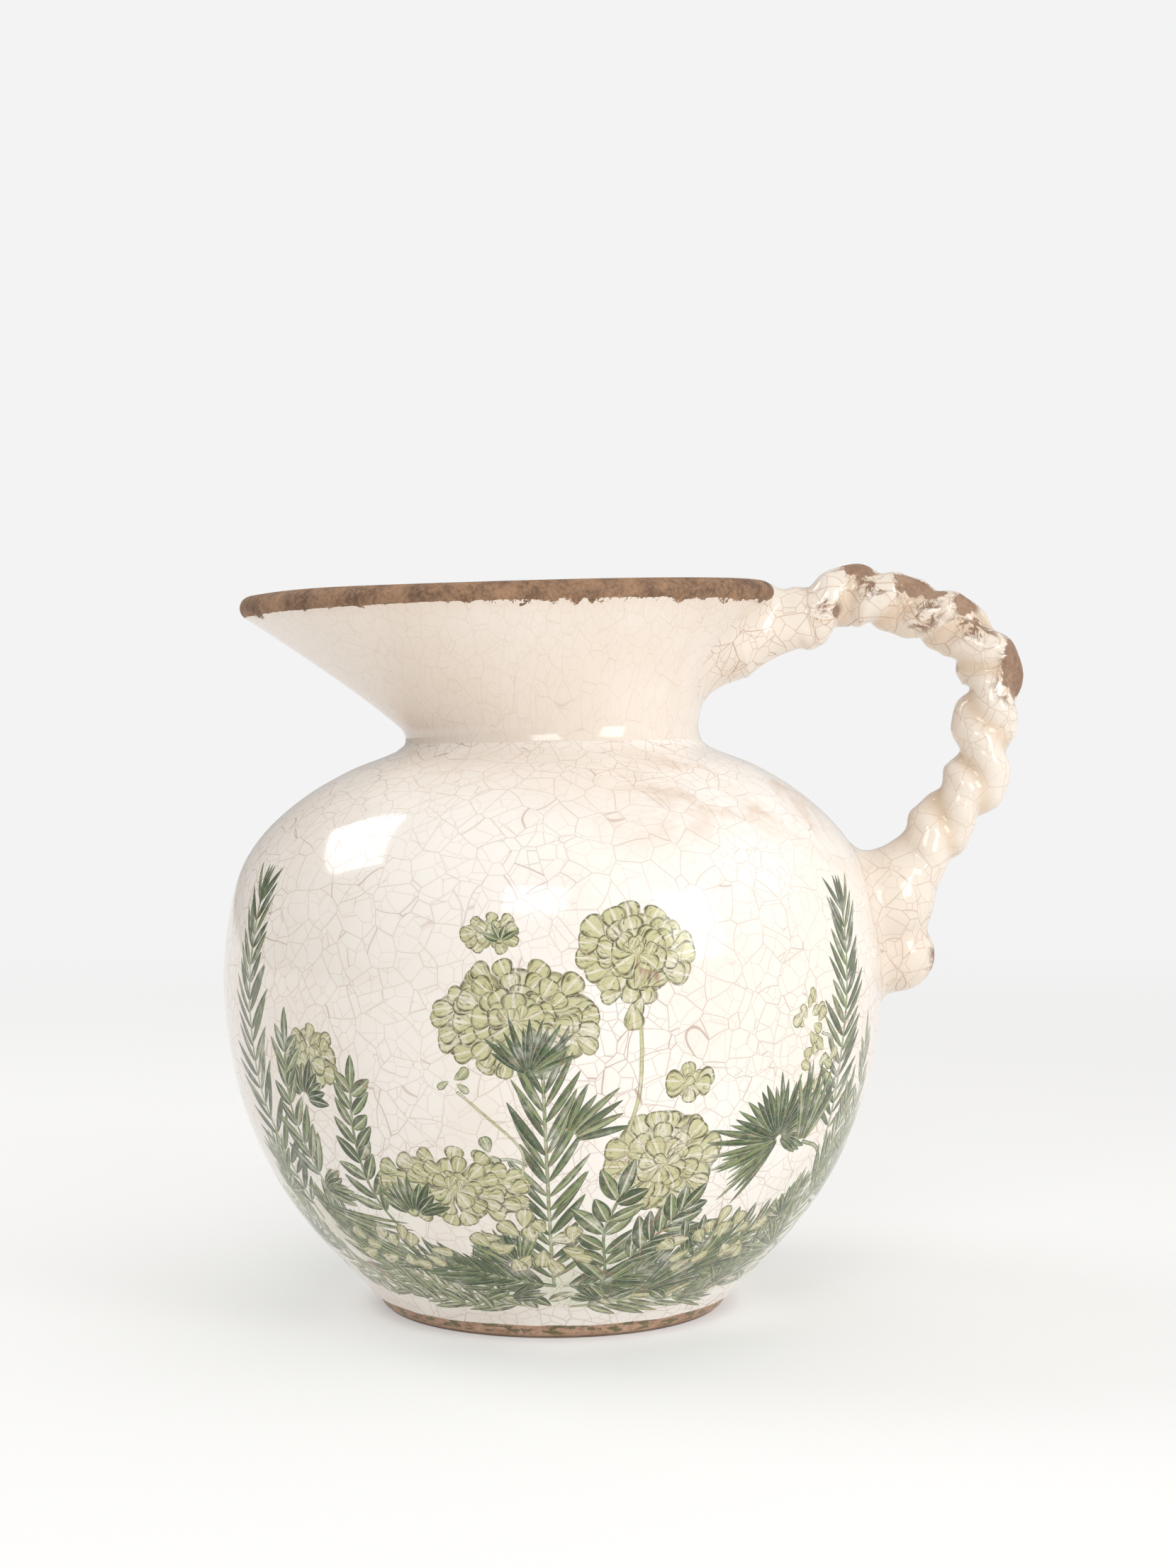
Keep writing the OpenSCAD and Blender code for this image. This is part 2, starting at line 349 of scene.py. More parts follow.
def inkGroup():
    # one printed leaf, petal or stem; Spot is along, across and seed, and Form is kind, tone and
    # width as a share of length
    group, given, result = startGroup(
        "printedLeaf", {"Spot": (0, 0, 0), "Form": (0, 0, 0)}, ["Cover", "Line", "Tone", "Rib", "Gap"])
    spot = put(group, "ShaderNodeSeparateXYZ", {0: given["Spot"]}).outputs
    form = put(group, "ShaderNodeSeparateXYZ", {0: given["Form"]}).outputs

    def brush(along, across, scale, detail, roughness):
        # streaks that run along the leaf, different in each one
        way = put(group, "ShaderNodeCombineXYZ", {0: along, 1: across, 2: times(group, spot[2], 41.7)})
        return noise(group, way.outputs[0], scale, detail, roughness)

    # how far across the leaf, 0 at its middle and 1 at its edge
    along = sums(group, "MINIMUM", sums(group, "MAXIMUM", spot[0], 0.001), 0.999)
    petal = sums(group, "MINIMUM", form[0], 1.0)
    stem = sums(group, "SUBTRACT", form[0], 1.0)
    power = sums(group, "MULTIPLY_ADD", petal, 0.75, 0.85)
    bulge = sums(group, "SINE", times(group, sums(group, "POWER", along, power), math.pi))
    roundness = sums(group, "MULTIPLY_ADD", petal, -0.3, 0.8)
    bulge = sums(group, "POWER", sums(group, "MAXIMUM", bulge, 0.0001), roundness)
    side = sums(group, "DIVIDE", spot[1], sums(group, "MAXIMUM", bulge, stem))
    across = sums(group, "ABSOLUTE", side)
    # outline, veins, brush strokes and the darker half of a leaf
    streak = brush(times(group, along, 1.6), side, 2.6, 2.0, 0.6)
    vein = brush(times(group, along, 1.1), times(group, side, 2.6), 2.2, 1.0, 0.5)
    outline = between(group, across, mixValue(group, 0.50, 0.60, petal), mixValue(group, 0.76, 0.82, petal))
    veins = times(group, between(group, vein, 0.57, 0.66), mixValue(group, 0.35, 0.75, petal))
    line = sums(group, "MAXIMUM", times(group, outline, between(group, streak, 0.30, 0.46)), veins)
    leafLine = sums(group, "MAXIMUM", line, times(group, between(group, streak, 0.53, 0.66), 0.9))
    leafLine = sums(group, "MAXIMUM", leafLine, between(group, side, 0.0, 0.22, 0.0, 0.82))
    petalLine = sums(group, "MAXIMUM", line, times(group, between(group, spot[0], 0.86, 0.95), petal))
    tips = times(group, between(group, spot[0], 0.0, 0.05), between(group, spot[0], 1.0, 0.96))
    tips = sums(group, "MAXIMUM", tips, stem)
    return endGroup(group, result, {
        "Line": mixValue(group, leafLine, petalLine, petal),
        "Cover": times(group, between(group, across, 1.0, 0.93), tips),
        "Tone": form[1],
        "Gap": times(group, between(group, across, 0.87, 0.96), mixValue(group, 0.75, 0.45, petal)),
        "Rib": times(group, between(group, across, 0.16, 0.05), between(group, form[2], 0.10, 0.18))})


effects = {"crackle": crackleGroup(), "clay": clayGroup(), "edge": edgeGroup(), "ink": inkGroup()}
print("shared effects ready")


glazeLook = {
    "cream": (0.880, 0.808, 0.730, 1),
    "milk": (0.930, 0.884, 0.828, 1),
    "crack": (0.36, 0.20, 0.14, 1),
    "halo": (0.80, 0.64, 0.53, 1),
    "stain": (0.62, 0.42, 0.27, 1),
    # pooled glaze in the handle's grooves, partly painted shade
    "groove": (0.70, 0.53, 0.37, 1),
    # painted shade over the whole collar, whose flared wall faces down
    "collarPaintedShade": (0.925, 0.880, 0.840, 1),
    # painted shade over the whole handle
    "handlePaintedShade": (0.915, 0.870, 0.815, 1),
}
clayLook = {
    "rimLight": (0.37, 0.215, 0.120, 1), "rimDark": (0.120, 0.064, 0.036, 1),
    "wornLight": (0.40, 0.255, 0.165, 1), "wornDark": (0.23, 0.13, 0.08, 1),
    "smear": (0.22, 0.12, 0.07, 1),
    "footLight": (0.60, 0.40, 0.28, 1), "footDark": (0.36, 0.20, 0.13, 1),
    # the last colour is painted shadow along the foot's lower edge, where it meets the floor
    "dash": (0.095, 0.095, 0.025, 1), "standing": (0.07, 0.05, 0.03, 1),
}

# where the glaze gives way to clay: its edge, how far the edge stands up, grain and roughness
rimEdge = {"from": "toClay", "ragged": 1.8, "soft": 0.35, "rolled": 0.22, "grain": 0.35,
           "dark": "rimDark", "light": "rimLight", "glossy": 0.08, "matt": 0.72}
wornEdge = {"from": "toWear", "ragged": 0.9, "soft": 0.3, "rolled": 0.15, "grain": 0.3,
            "dark": "wornDark", "light": "wornLight", "glossy": 0.08, "matt": 0.6}

inkLook = {
    "deep": (0.060, 0.100, 0.030, 1), "leaf": (0.230, 0.290, 0.115, 1),
    "sage": (0.42, 0.45, 0.24, 1), "petal": (0.58, 0.56, 0.31, 1),
    "wash": (0.62, 0.65, 0.47, 1), "speck": (0.05, 0.06, 0.035, 1),
    "leafLine": (0.009, 0.036, 0.006, 1), "petalLine": (0.070, 0.066, 0.005, 1),
}


def startMaterial(name):
    material = bpy.data.materials.new(name)
    material.use_nodes = True
    tree = material.node_tree
    tree.nodes.clear()
    out = tree.nodes.new("ShaderNodeOutputMaterial")
    shader = put(tree, "ShaderNodeBsdfPrincipled", {"IOR": 1.52, "Roughness": 0.08})
    tree.links.new(shader.outputs[0], out.inputs[0])
    point = tree.nodes.new("ShaderNodeTexCoord").outputs["Object"]
    return material, tree, shader, point


def glazeBase(tree, point, cell=122.0, width=0.014, stretch=(1, 1, 1), crackAmount=0.72):
    # crackled cream glaze: its colour, the cracks that show and the crackle group's outputs
    crackle = useGroup(tree, effects["crackle"],
                       {"Point": point, "Cell": cell, "Width": width, "Stretch": stretch})
    cloud = noise(tree, point, 16.0, 3.0, 0.55)
    base = blendColour(tree, between(tree, cloud, 0.35, 0.65), glazeLook["cream"], glazeLook["milk"])
    amount = noise(tree, point, 11.0, 2.0)
    amount = between(tree, amount, 0.36, 0.60, 0.55 * crackAmount, crackAmount)
    base = overlay(tree, base, glazeLook["halo"], crackle["Halo"], times(tree, amount, 0.22))
    return base, times(tree, crackle["Lines"], amount), crackle


def glazeBump(tree, point, lines, extra=None):
    swell = noise(tree, point, 28.0, 2.0, 0.4)
    height = sums(tree, "MULTIPLY_ADD", swell, 1.0, times(tree, lines, -0.05))
    if extra is not None:
        height = plus(tree, height, extra)
    return put(tree, "ShaderNodeBump", {"Height": height, "Strength": 0.30, "Distance": 0.0009}).outputs[0]


def finishCoat(tree, shader, colour, roughness, normal):
    feed(tree, shader, {"Base Color": colour, "Roughness": roughness, "Normal": normal})


def attributeOf(tree, name, output="Fac"):
    return put(tree, "ShaderNodeAttribute", attribute_name=name, attribute_type="GEOMETRY").outputs[output]


def clayColour(tree, grain, dark, light, spread=0.16):
    return blendColour(tree, between(tree, grain["Shade"], 0.5 - spread, 0.5 + spread), clayLook[dark],
                       clayLook[light])


def bareClay(tree, shader, point, base, lines, grain, look):
    # bare clay with a ragged edge, where the glaze stops or has worn off
    edge = useGroup(tree, effects["edge"], {"Point": point, "Distance": attributeOf(tree, look["from"]),
                                            "Ragged": look["ragged"], "Soft": look["soft"]})
    colour = blendColour(tree, edge["Mask"], base, clayColour(tree, grain, look["dark"], look["light"]))
    extra = plus(tree, times(tree, edge["Rolled"], look["rolled"]),
                 times(tree, edge["Mask"], times(tree, grain["Height"], look["grain"])))
    finishCoat(tree, shader, colour, mixValue(tree, look["glossy"], look["matt"], edge["Mask"]),
               glazeBump(tree, point, lines, extra))


def inkOver(tree, base, point, layer, strength):
    # lays one printed layer over the colour below it
    ink = useGroup(tree, effects["ink"], {"Spot": attributeOf(tree, layer, "Vector"),
                                          "Form": attributeOf(tree, layer + "Form", "Vector")})
    fill = inkLook["deep"]
    for colour, low, high in (("leaf", 0.0, 0.24), ("sage", 0.2, 0.5), ("petal", 0.5, 1.0)):
        fill = blendColour(tree, between(tree, ink["Tone"], low, high), fill, inkLook[colour])
    pale = between(tree, noise(tree, point, 150.0, 4.0, 0.6), 0.45, 0.70, 0.0, 0.45)
    fill = blendColour(tree, pale, fill, glazeLook["milk"])
    lineColour = blendColour(tree, between(tree, ink["Tone"], 0.55, 0.95), inkLook["leafLine"],
                             inkLook["petalLine"])
    broken = between(tree, noise(tree, point, 420.0, 2.0), 0.30, 0.62, 0.45, 1.0)
    lined = overlay(tree, fill, lineColour, ink["Line"], broken)
    lined = overlay(tree, lined, glazeLook["cream"], ink["Rib"], 0.6)
    lined = blendColour(tree, ink["Gap"], lined, glazeLook["milk"])
    return overlay(tree, base, lined, ink["Cover"], strength)


def printedGlaze():
    material, tree, shader, point = startMaterial("printedGlaze")
    base, lines, _ = glazeBase(tree, point)
    place = put(tree, "ShaderNodeSeparateXYZ", {0: point}).outputs
    # tea-coloured stains high on the shoulder, towards the handle
    patchy = between(tree, noise(tree, point, 30.0, 4.0, 0.6, 0.6), 0.50, 0.66)
    high = times(tree, between(tree, place[2], 0.128, 0.148), between(tree, place[0], 0.0, 0.04))
    base = overlay(tree, base, glazeLook["stain"], times(tree, patchy, high), 0.6)
    # pale green wash low down, between the leaves
    low = between(tree, place[2], 0.052, 0.020)
    washed = times(tree, low, between(tree, noise(tree, point, 45.0, 3.0), 0.38, 0.62))
    washed = times(tree, washed, between(tree, place[2], 0.009, 0.013))
    base = overlay(tree, base, inkLook["wash"], washed, 0.55)
    base = inkOver(tree, base, point, "printUnder", 0.85)
    base = inkOver(tree, base, point, "printTop", 0.95)
    speck = put(tree, "ShaderNodeTexVoronoi", {"Vector": point, "Scale": 42.0, "Randomness": 1.0})
    dots = between(tree, speck.outputs["Distance"], 0.026, 0.016)
    base = overlay(tree, base, inkLook["speck"], dots, 0.8)
    base = blendColour(tree, lines, base, glazeLook["crack"])
    rough = between(tree, noise(tree, point, 60.0, 2.0), 0.3, 0.7, 0.05, 0.11)
    finishCoat(tree, shader, base, rough, glazeBump(tree, point, lines))
    return material


def collarGlaze():
    material, tree, shader, point = startMaterial("collarGlaze")
    base, lines, _ = glazeBase(tree, point, 150.0, 0.016, (1.5, 1.5, 0.6), 0.24)
    base = blendColour(tree, lines, base, glazeLook["crack"])
    # painted shade: the whole collar made darker, as its wall flares out and faces down
    base = blendColour(tree, 1.0, base, glazeLook["collarPaintedShade"], "MULTIPLY")
    smear = times(tree, between(tree, attributeOf(tree, "toClay"), 7.0, 0.0), 0.25)
    grain = useGroup(tree, effects["clay"], {"Point": point})
    base = overlay(tree, base, glazeLook["stain"], smear, grain["Shade"])
    bareClay(tree, shader, point, base, lines, grain, rimEdge)
    return material


def footClay():
    material, tree, shader, point = startMaterial("footClay")
    grain = useGroup(tree, effects["clay"], {"Point": point})
    clay = clayColour(tree, grain, "footDark", "footLight", 0.18)
    place = put(tree, "ShaderNodeSeparateXYZ", {0: point}).outputs
    outer = between(tree, attributeOf(tree, "outerWall"), 0.4, 0.6)
    # dark glassy dashes in one band round the outer wall
    bearing = sums(tree, "ARCTAN2", place[1], place[0])
    dash = put(tree, "ShaderNodeCombineXYZ", {0: times(tree, bearing, 5.0),
                                              1: times(tree, place[2], 260.0)}).outputs[0]
    band = times(tree, between(tree, place[2], 0.0008, 0.0018), between(tree, place[2], 0.0052, 0.0040))
    dashes = times(tree, between(tree, noise(tree, dash, 2.4, 3.0, 0.6), 0.49, 0.56),
                   times(tree, band, outer))
    clay = overlay(tree, clay, clayLook["dash"], dashes, 0.85)
    # painted shadow: a dark line low on the outer wall, where the foot meets the floor
    standing = times(tree, between(tree, place[2], 0.0013, 0.0004), outer)
    clay = overlay(tree, clay, clayLook["standing"], standing, 0.7)
    bump = put(tree, "ShaderNodeBump", {"Height": grain["Height"], "Strength": 0.5, "Distance": 0.0004})
    finishCoat(tree, shader, clay, mixValue(tree, 0.62, 0.35, dashes), bump.outputs[0])
    return material


def liningGlaze():
    material, tree, shader, point = startMaterial("liningGlaze")
    base, lines, _ = glazeBase(tree, point, 120.0, 0.018, (1, 1, 1), 0.35)
    base = blendColour(tree, lines, base, glazeLook["crack"])
    finishCoat(tree, shader, base, 0.16, glazeBump(tree, point, lines))
    return material


def wornGlaze():
    material, tree, shader, point = startMaterial("wornGlaze")
    base, lines, crackle = glazeBase(tree, point, 110.0, 0.013, (1, 1, 1), 0.8)
    # painted shade: the whole handle made darker and more beige
    base = blendColour(tree, 1.0, base, glazeLook["handlePaintedShade"], "MULTIPLY")
    # darker tan in the grooves between the strands: pooled glaze, and painted shade
    base = overlay(tree, base, glazeLook["groove"], attributeOf(tree, "groove"), 0.7)
    # dirt: darker cracks, a tea-coloured haze beside them, and smears
    dirt = attributeOf(tree, "dirt")
    dirty = times(tree, crackle["Lines"], times(tree, dirt, 0.9))
    base = blendColour(tree, sums(tree, "MAXIMUM", lines, dirty), base, glazeLook["crack"])
    base = overlay(tree, base, glazeLook["stain"], times(tree, crackle["Halo"], dirt), 0.5)
    smear = between(tree, noise(tree, point, 230.0, 5.0, 0.7, 0.8), 0.48, 0.57)
    smear = times(tree, smear, between(tree, dirt, 0.15, 0.7))
    base = overlay(tree, base, clayLook["smear"], smear, 0.9)
    grain = useGroup(tree, effects["clay"], {"Point": point})
    bareClay(tree, shader, point, base, lines, grain, wornEdge)
    return material


finishes = {"printed": printedGlaze(), "collar": collarGlaze(), "foot": footClay(),
            "lining": liningGlaze(), "worn": wornGlaze()}
print("finishes ready")


globe = {
    # outline: share of the neck's height, then share of the way from foot or neck to the widest line
    "belly": [(0.036, 0.10), (0.085, 0.265), (0.158, 0.50), (0.243, 0.70), (0.34, 0.855),
              (0.44, 0.95), (0.585, 1)],
    "shoulder": [(0.73, 0.94), (0.815, 0.815), (0.8875, 0.59), (0.94, 0.325), (0.975, 0.06)],
    "columns": 180,
    "rows": 70,
    "uneven": 0.22,      # the thrown wall's slow waviness, always inwards
    "edgeWave": 0.55,    # the glaze's lower edge
    "edgeRoll": [(0.30, 0.45), (0.62, 0.25)],   # depth and drop of the rings rolled under that edge
    "tiltFrom": 130.0,   # the shoulder starts to follow the slanted crease this far up the outline
}

outline = smoothCurve(
    [(jug["footR"], 0)]
    + [(mix(jug["footR"], jug["bodyR"], b), a * jug["neckH"]) for a, b in globe["belly"]]
    + [(mix(jug["neckR"], jug["bodyR"], b), a * jug["neckH"]) for a, b in globe["shoulder"]]
    + [(jug["neckR"], jug["neckH"])], 48)
outlineFar = lengthAlong(outline)
outlineEnd = outlineFar[-1]
glazeStart = float(np.interp(jug["footH"] + 0.4, outline[:, 1], outlineFar))


def outlineAt(far, inset=0.0):
    r = np.interp(far, outlineFar, outline[:, 0])
    z = np.interp(far, outlineFar, outline[:, 1])
    if inset:
        dr, dz = (np.interp(far + 0.8, outlineFar, side) - np.interp(far - 0.8, outlineFar, side)
                  for side in outline.T)
        length = np.hypot(dr, dz)
        r, z = r - inset * dz / length, z + inset * dr / length
    return r, z


def thrownDip(angle, far):
    # the slow waviness, fading out at the foot and the neck; angle in radians from the front
    fade = smoothStep(far, 4, 40) * smoothStep(far, outlineEnd - 4, outlineEnd - 40)
    return globe["uneven"] * fade * (1 + ripple(angle, far, 0.7)) / 2


def globePoint(angle, far, inset=0.0):
    # angle in radians from the front towards the handle
    r, z = outlineAt(far, inset)
    r = r - thrownDip(angle, far)
    x, y = r * np.sin(angle), -r * np.cos(angle)
    z = z + jug["creaseSlope"] * x * smoothStep(far, globe["tiltFrom"], outlineEnd)
    return np.stack([x, y, z], -1)


def globeNormal(angle, far):
    turn, rise = 0.01, 0.9
    east = globePoint(angle + turn, far) - globePoint(angle - turn, far)
    north = globePoint(angle, np.minimum(far + rise, outlineEnd)) - globePoint(angle, far - rise)
    return unit(np.cross(east, north))


leafKind, petalKind, stemKind = 0, 1, 2
printCopies = 2          # the same spray runs round the front and the back
goldenTurn = 2.39996     # radians; spreads petals evenly over an oval
prints = []              # one row for each printed leaf, petal or length of stem


def motif(angle, height, seed, turn=0.0):
    # where a spray is rooted: degrees round, mm up; turn is degrees clockwise from upright
    far = float(np.interp(height, outline[:, 1], outlineFar))
    return {"angle": math.radians(angle), "far": far, "turn": math.radians(turn),
            "random": random.Random(seed)}


def addInk(m, x, y, direction, length, halfWidth, tone, bend=0.0, kind=leafKind):
    # x, y and direction are in the motif's own upright frame; direction in degrees clockwise from up
    c, s = math.cos(m["turn"]), math.sin(m["turn"])
    heading = math.radians(90 - direction) - m["turn"]
    prints.append((m["angle"], m["far"], x * c + y * s, -x * s + y * c, heading, length, halfWidth,
                   bend, kind, tone, m["random"].random()))


def addStem(m, points, halfWidth, tone):
    curve = smoothCurve(points, 4)
    for (x0, y0), (x1, y1) in zip(curve[:-1], curve[1:]):
        run = math.hypot(x1 - x0, y1 - y0)
        addInk(m, x0, y0, math.degrees(math.atan2(x1 - x0, y1 - y0)), run * 1.08, halfWidth, tone,
               0, stemKind)


def curveSpot(curve, share):
    far = lengthAlong(curve)
    at = share * far[-1]
    x, y = (np.interp(at, far, curve[:, i]) for i in (0, 1))
    ahead = [np.interp(min(at + 0.5, far[-1]), far, curve[:, i]) for i in (0, 1)]
    behind = [np.interp(max(at - 0.5, 0), far, curve[:, i]) for i in (0, 1)]
    return float(x), float(y), math.degrees(math.atan2(ahead[0] - behind[0], ahead[1] - behind[1]))


def needleSprig(m, points, needle=9.0, rows=26, lean=26, tone=0.1, width=0.62):
    # rosemary: needles close together up both sides of a stem
    curve = smoothCurve(points, 8)
    rnd = m["random"]
    addStem(m, points, 0.5, tone + 0.25)
    for i in range(rows):
        share = 0.06 + 0.92 * i / (rows - 1)
        for side in (-1, 1):
            x, y, heading = curveSpot(curve, min(1, share + rnd.uniform(-0.01, 0.01)))
            spread = lean * (1.15 - 0.45 * share) * rnd.uniform(0.8, 1.2)
            reach = needle * (1.05 - 0.35 * abs(share - 0.45)) * rnd.uniform(0.75, 1.15)
            addInk(m, x, y, heading + side * spread, reach, width * rnd.uniform(0.8, 1.25),
                   max(0, tone + rnd.uniform(-0.1, 0.22)), -side * rnd.uniform(0.0, 0.12))
    x, y, heading = curveSpot(curve, 1.0)
    for extra in (-9, 0, 8):
        addInk(m, x, y - 2, heading + extra, needle * 0.8, width, tone)


def leafyStem(m, points, leaf=9.0, pairs=6, lean=42, tone=0.25, width=1.7):
    curve = smoothCurve(points, 8)
    rnd = m["random"]
    addStem(m, points, 0.45, tone)
    for i in range(pairs):
        share = 0.22 + 0.74 * i / max(1, pairs - 1)
        for side in (-1, 1):
            x, y, heading = curveSpot(curve, min(1, share + rnd.uniform(-0.03, 0.03)))
            addInk(m, x, y, heading + side * lean * rnd.uniform(0.75, 1.2),
                   leaf * (1.1 - 0.4 * share) * rnd.uniform(0.8, 1.15), width * rnd.uniform(0.8, 1.15),
                   max(0, tone + rnd.uniform(-0.15, 0.2)), side * rnd.uniform(-0.15, 0.1))
    x, y, heading = curveSpot(curve, 1.0)
    addInk(m, x, y, heading, leaf * 0.85, width * 0.9, tone)


def leafFan(m, start, end, count, length, width=0.95, tone=0.12, root=1.5, droop=0.0):
    # palm or fern: long narrow leaves spread from one point, directions in degrees
    rnd = m["random"]
    for i in range(count):
        share = i / max(1, count - 1)
        direction = mix(start, end, share) + rnd.uniform(-2.5, 2.5)
        off = math.radians(direction)
        addInk(m, root * math.sin(off), root * math.cos(off), direction,
               length * rnd.uniform(0.78, 1.08) * (1 - 0.22 * abs(share - 0.5)),
               width * rnd.uniform(0.8, 1.2), max(0, tone + rnd.uniform(-0.12, 0.3)),
               droop * rnd.uniform(0.6, 1.3) + rnd.uniform(-0.04, 0.04))


def ovalAt(wide, tall, off):
    return wide * math.sin(off), tall * math.cos(off)


def flowerHead(m, wide, tall, rings=3, petals=11, tone=0.97, petal=8.0, fat=2.6):
    # ruffled head: big petals behind, then rings of smaller ones towards the middle
    rnd = m["random"]
    for i in range(9):
        off = math.radians(40 * i)
        x, y = ovalAt(wide, tall, off)
        addInk(m, 0, 0, math.degrees(math.atan2(x, y)), 0.94 * math.hypot(x, y), 0.42 * tall, tone, 0,
               petalKind)
    for ring in range(rings):
        reach = 1 - ring / rings
        count = max(5, int(petals * (0.4 + 0.6 * reach)))
        for i in range(count):
            direction = 360 * (i + 0.5 * (ring % 2)) / count + rnd.uniform(-9, 9)
            off = math.radians(direction)
            inner = max(0.05, reach * rnd.uniform(0.93, 1.04) - petal / max(wide, tall) * 0.95)
            x, y = ovalAt(wide * inner, tall * inner, off)
            aim = math.degrees(math.atan2(*ovalAt(wide, tall, off)))
            addInk(m, x, y, aim + rnd.uniform(-26, 26), petal * rnd.uniform(0.8, 1.1),
                   fat * rnd.uniform(0.85, 1.3), tone + rnd.uniform(-0.10, 0.03),
                   rnd.uniform(-0.16, 0.16), petalKind)
    for i in range(5):
        addInk(m, rnd.uniform(-2.5, 2.5), rnd.uniform(-1.5, 1.0), rnd.uniform(-60, 60), petal * 0.6,
               fat * 0.6, tone - 0.05, 0, petalKind)


def petalCluster(m, wide, tall, count, petal=5.5, fat=2.4, tone=0.97):
    # loose floret cluster: petals scattered evenly, each pointing its own way
    rnd = m["random"]
    for i in range(count):
        reach = math.sqrt((i + 0.5) / count)
        off = i * goldenTurn
        x, y = ovalAt(wide * reach, tall * reach, off)
        addInk(m, x, y, math.degrees(off) + rnd.uniform(-70, 70), petal * rnd.uniform(0.8, 1.2),
               fat * rnd.uniform(0.8, 1.2), tone + rnd.uniform(-0.12, 0.03), 0, petalKind)


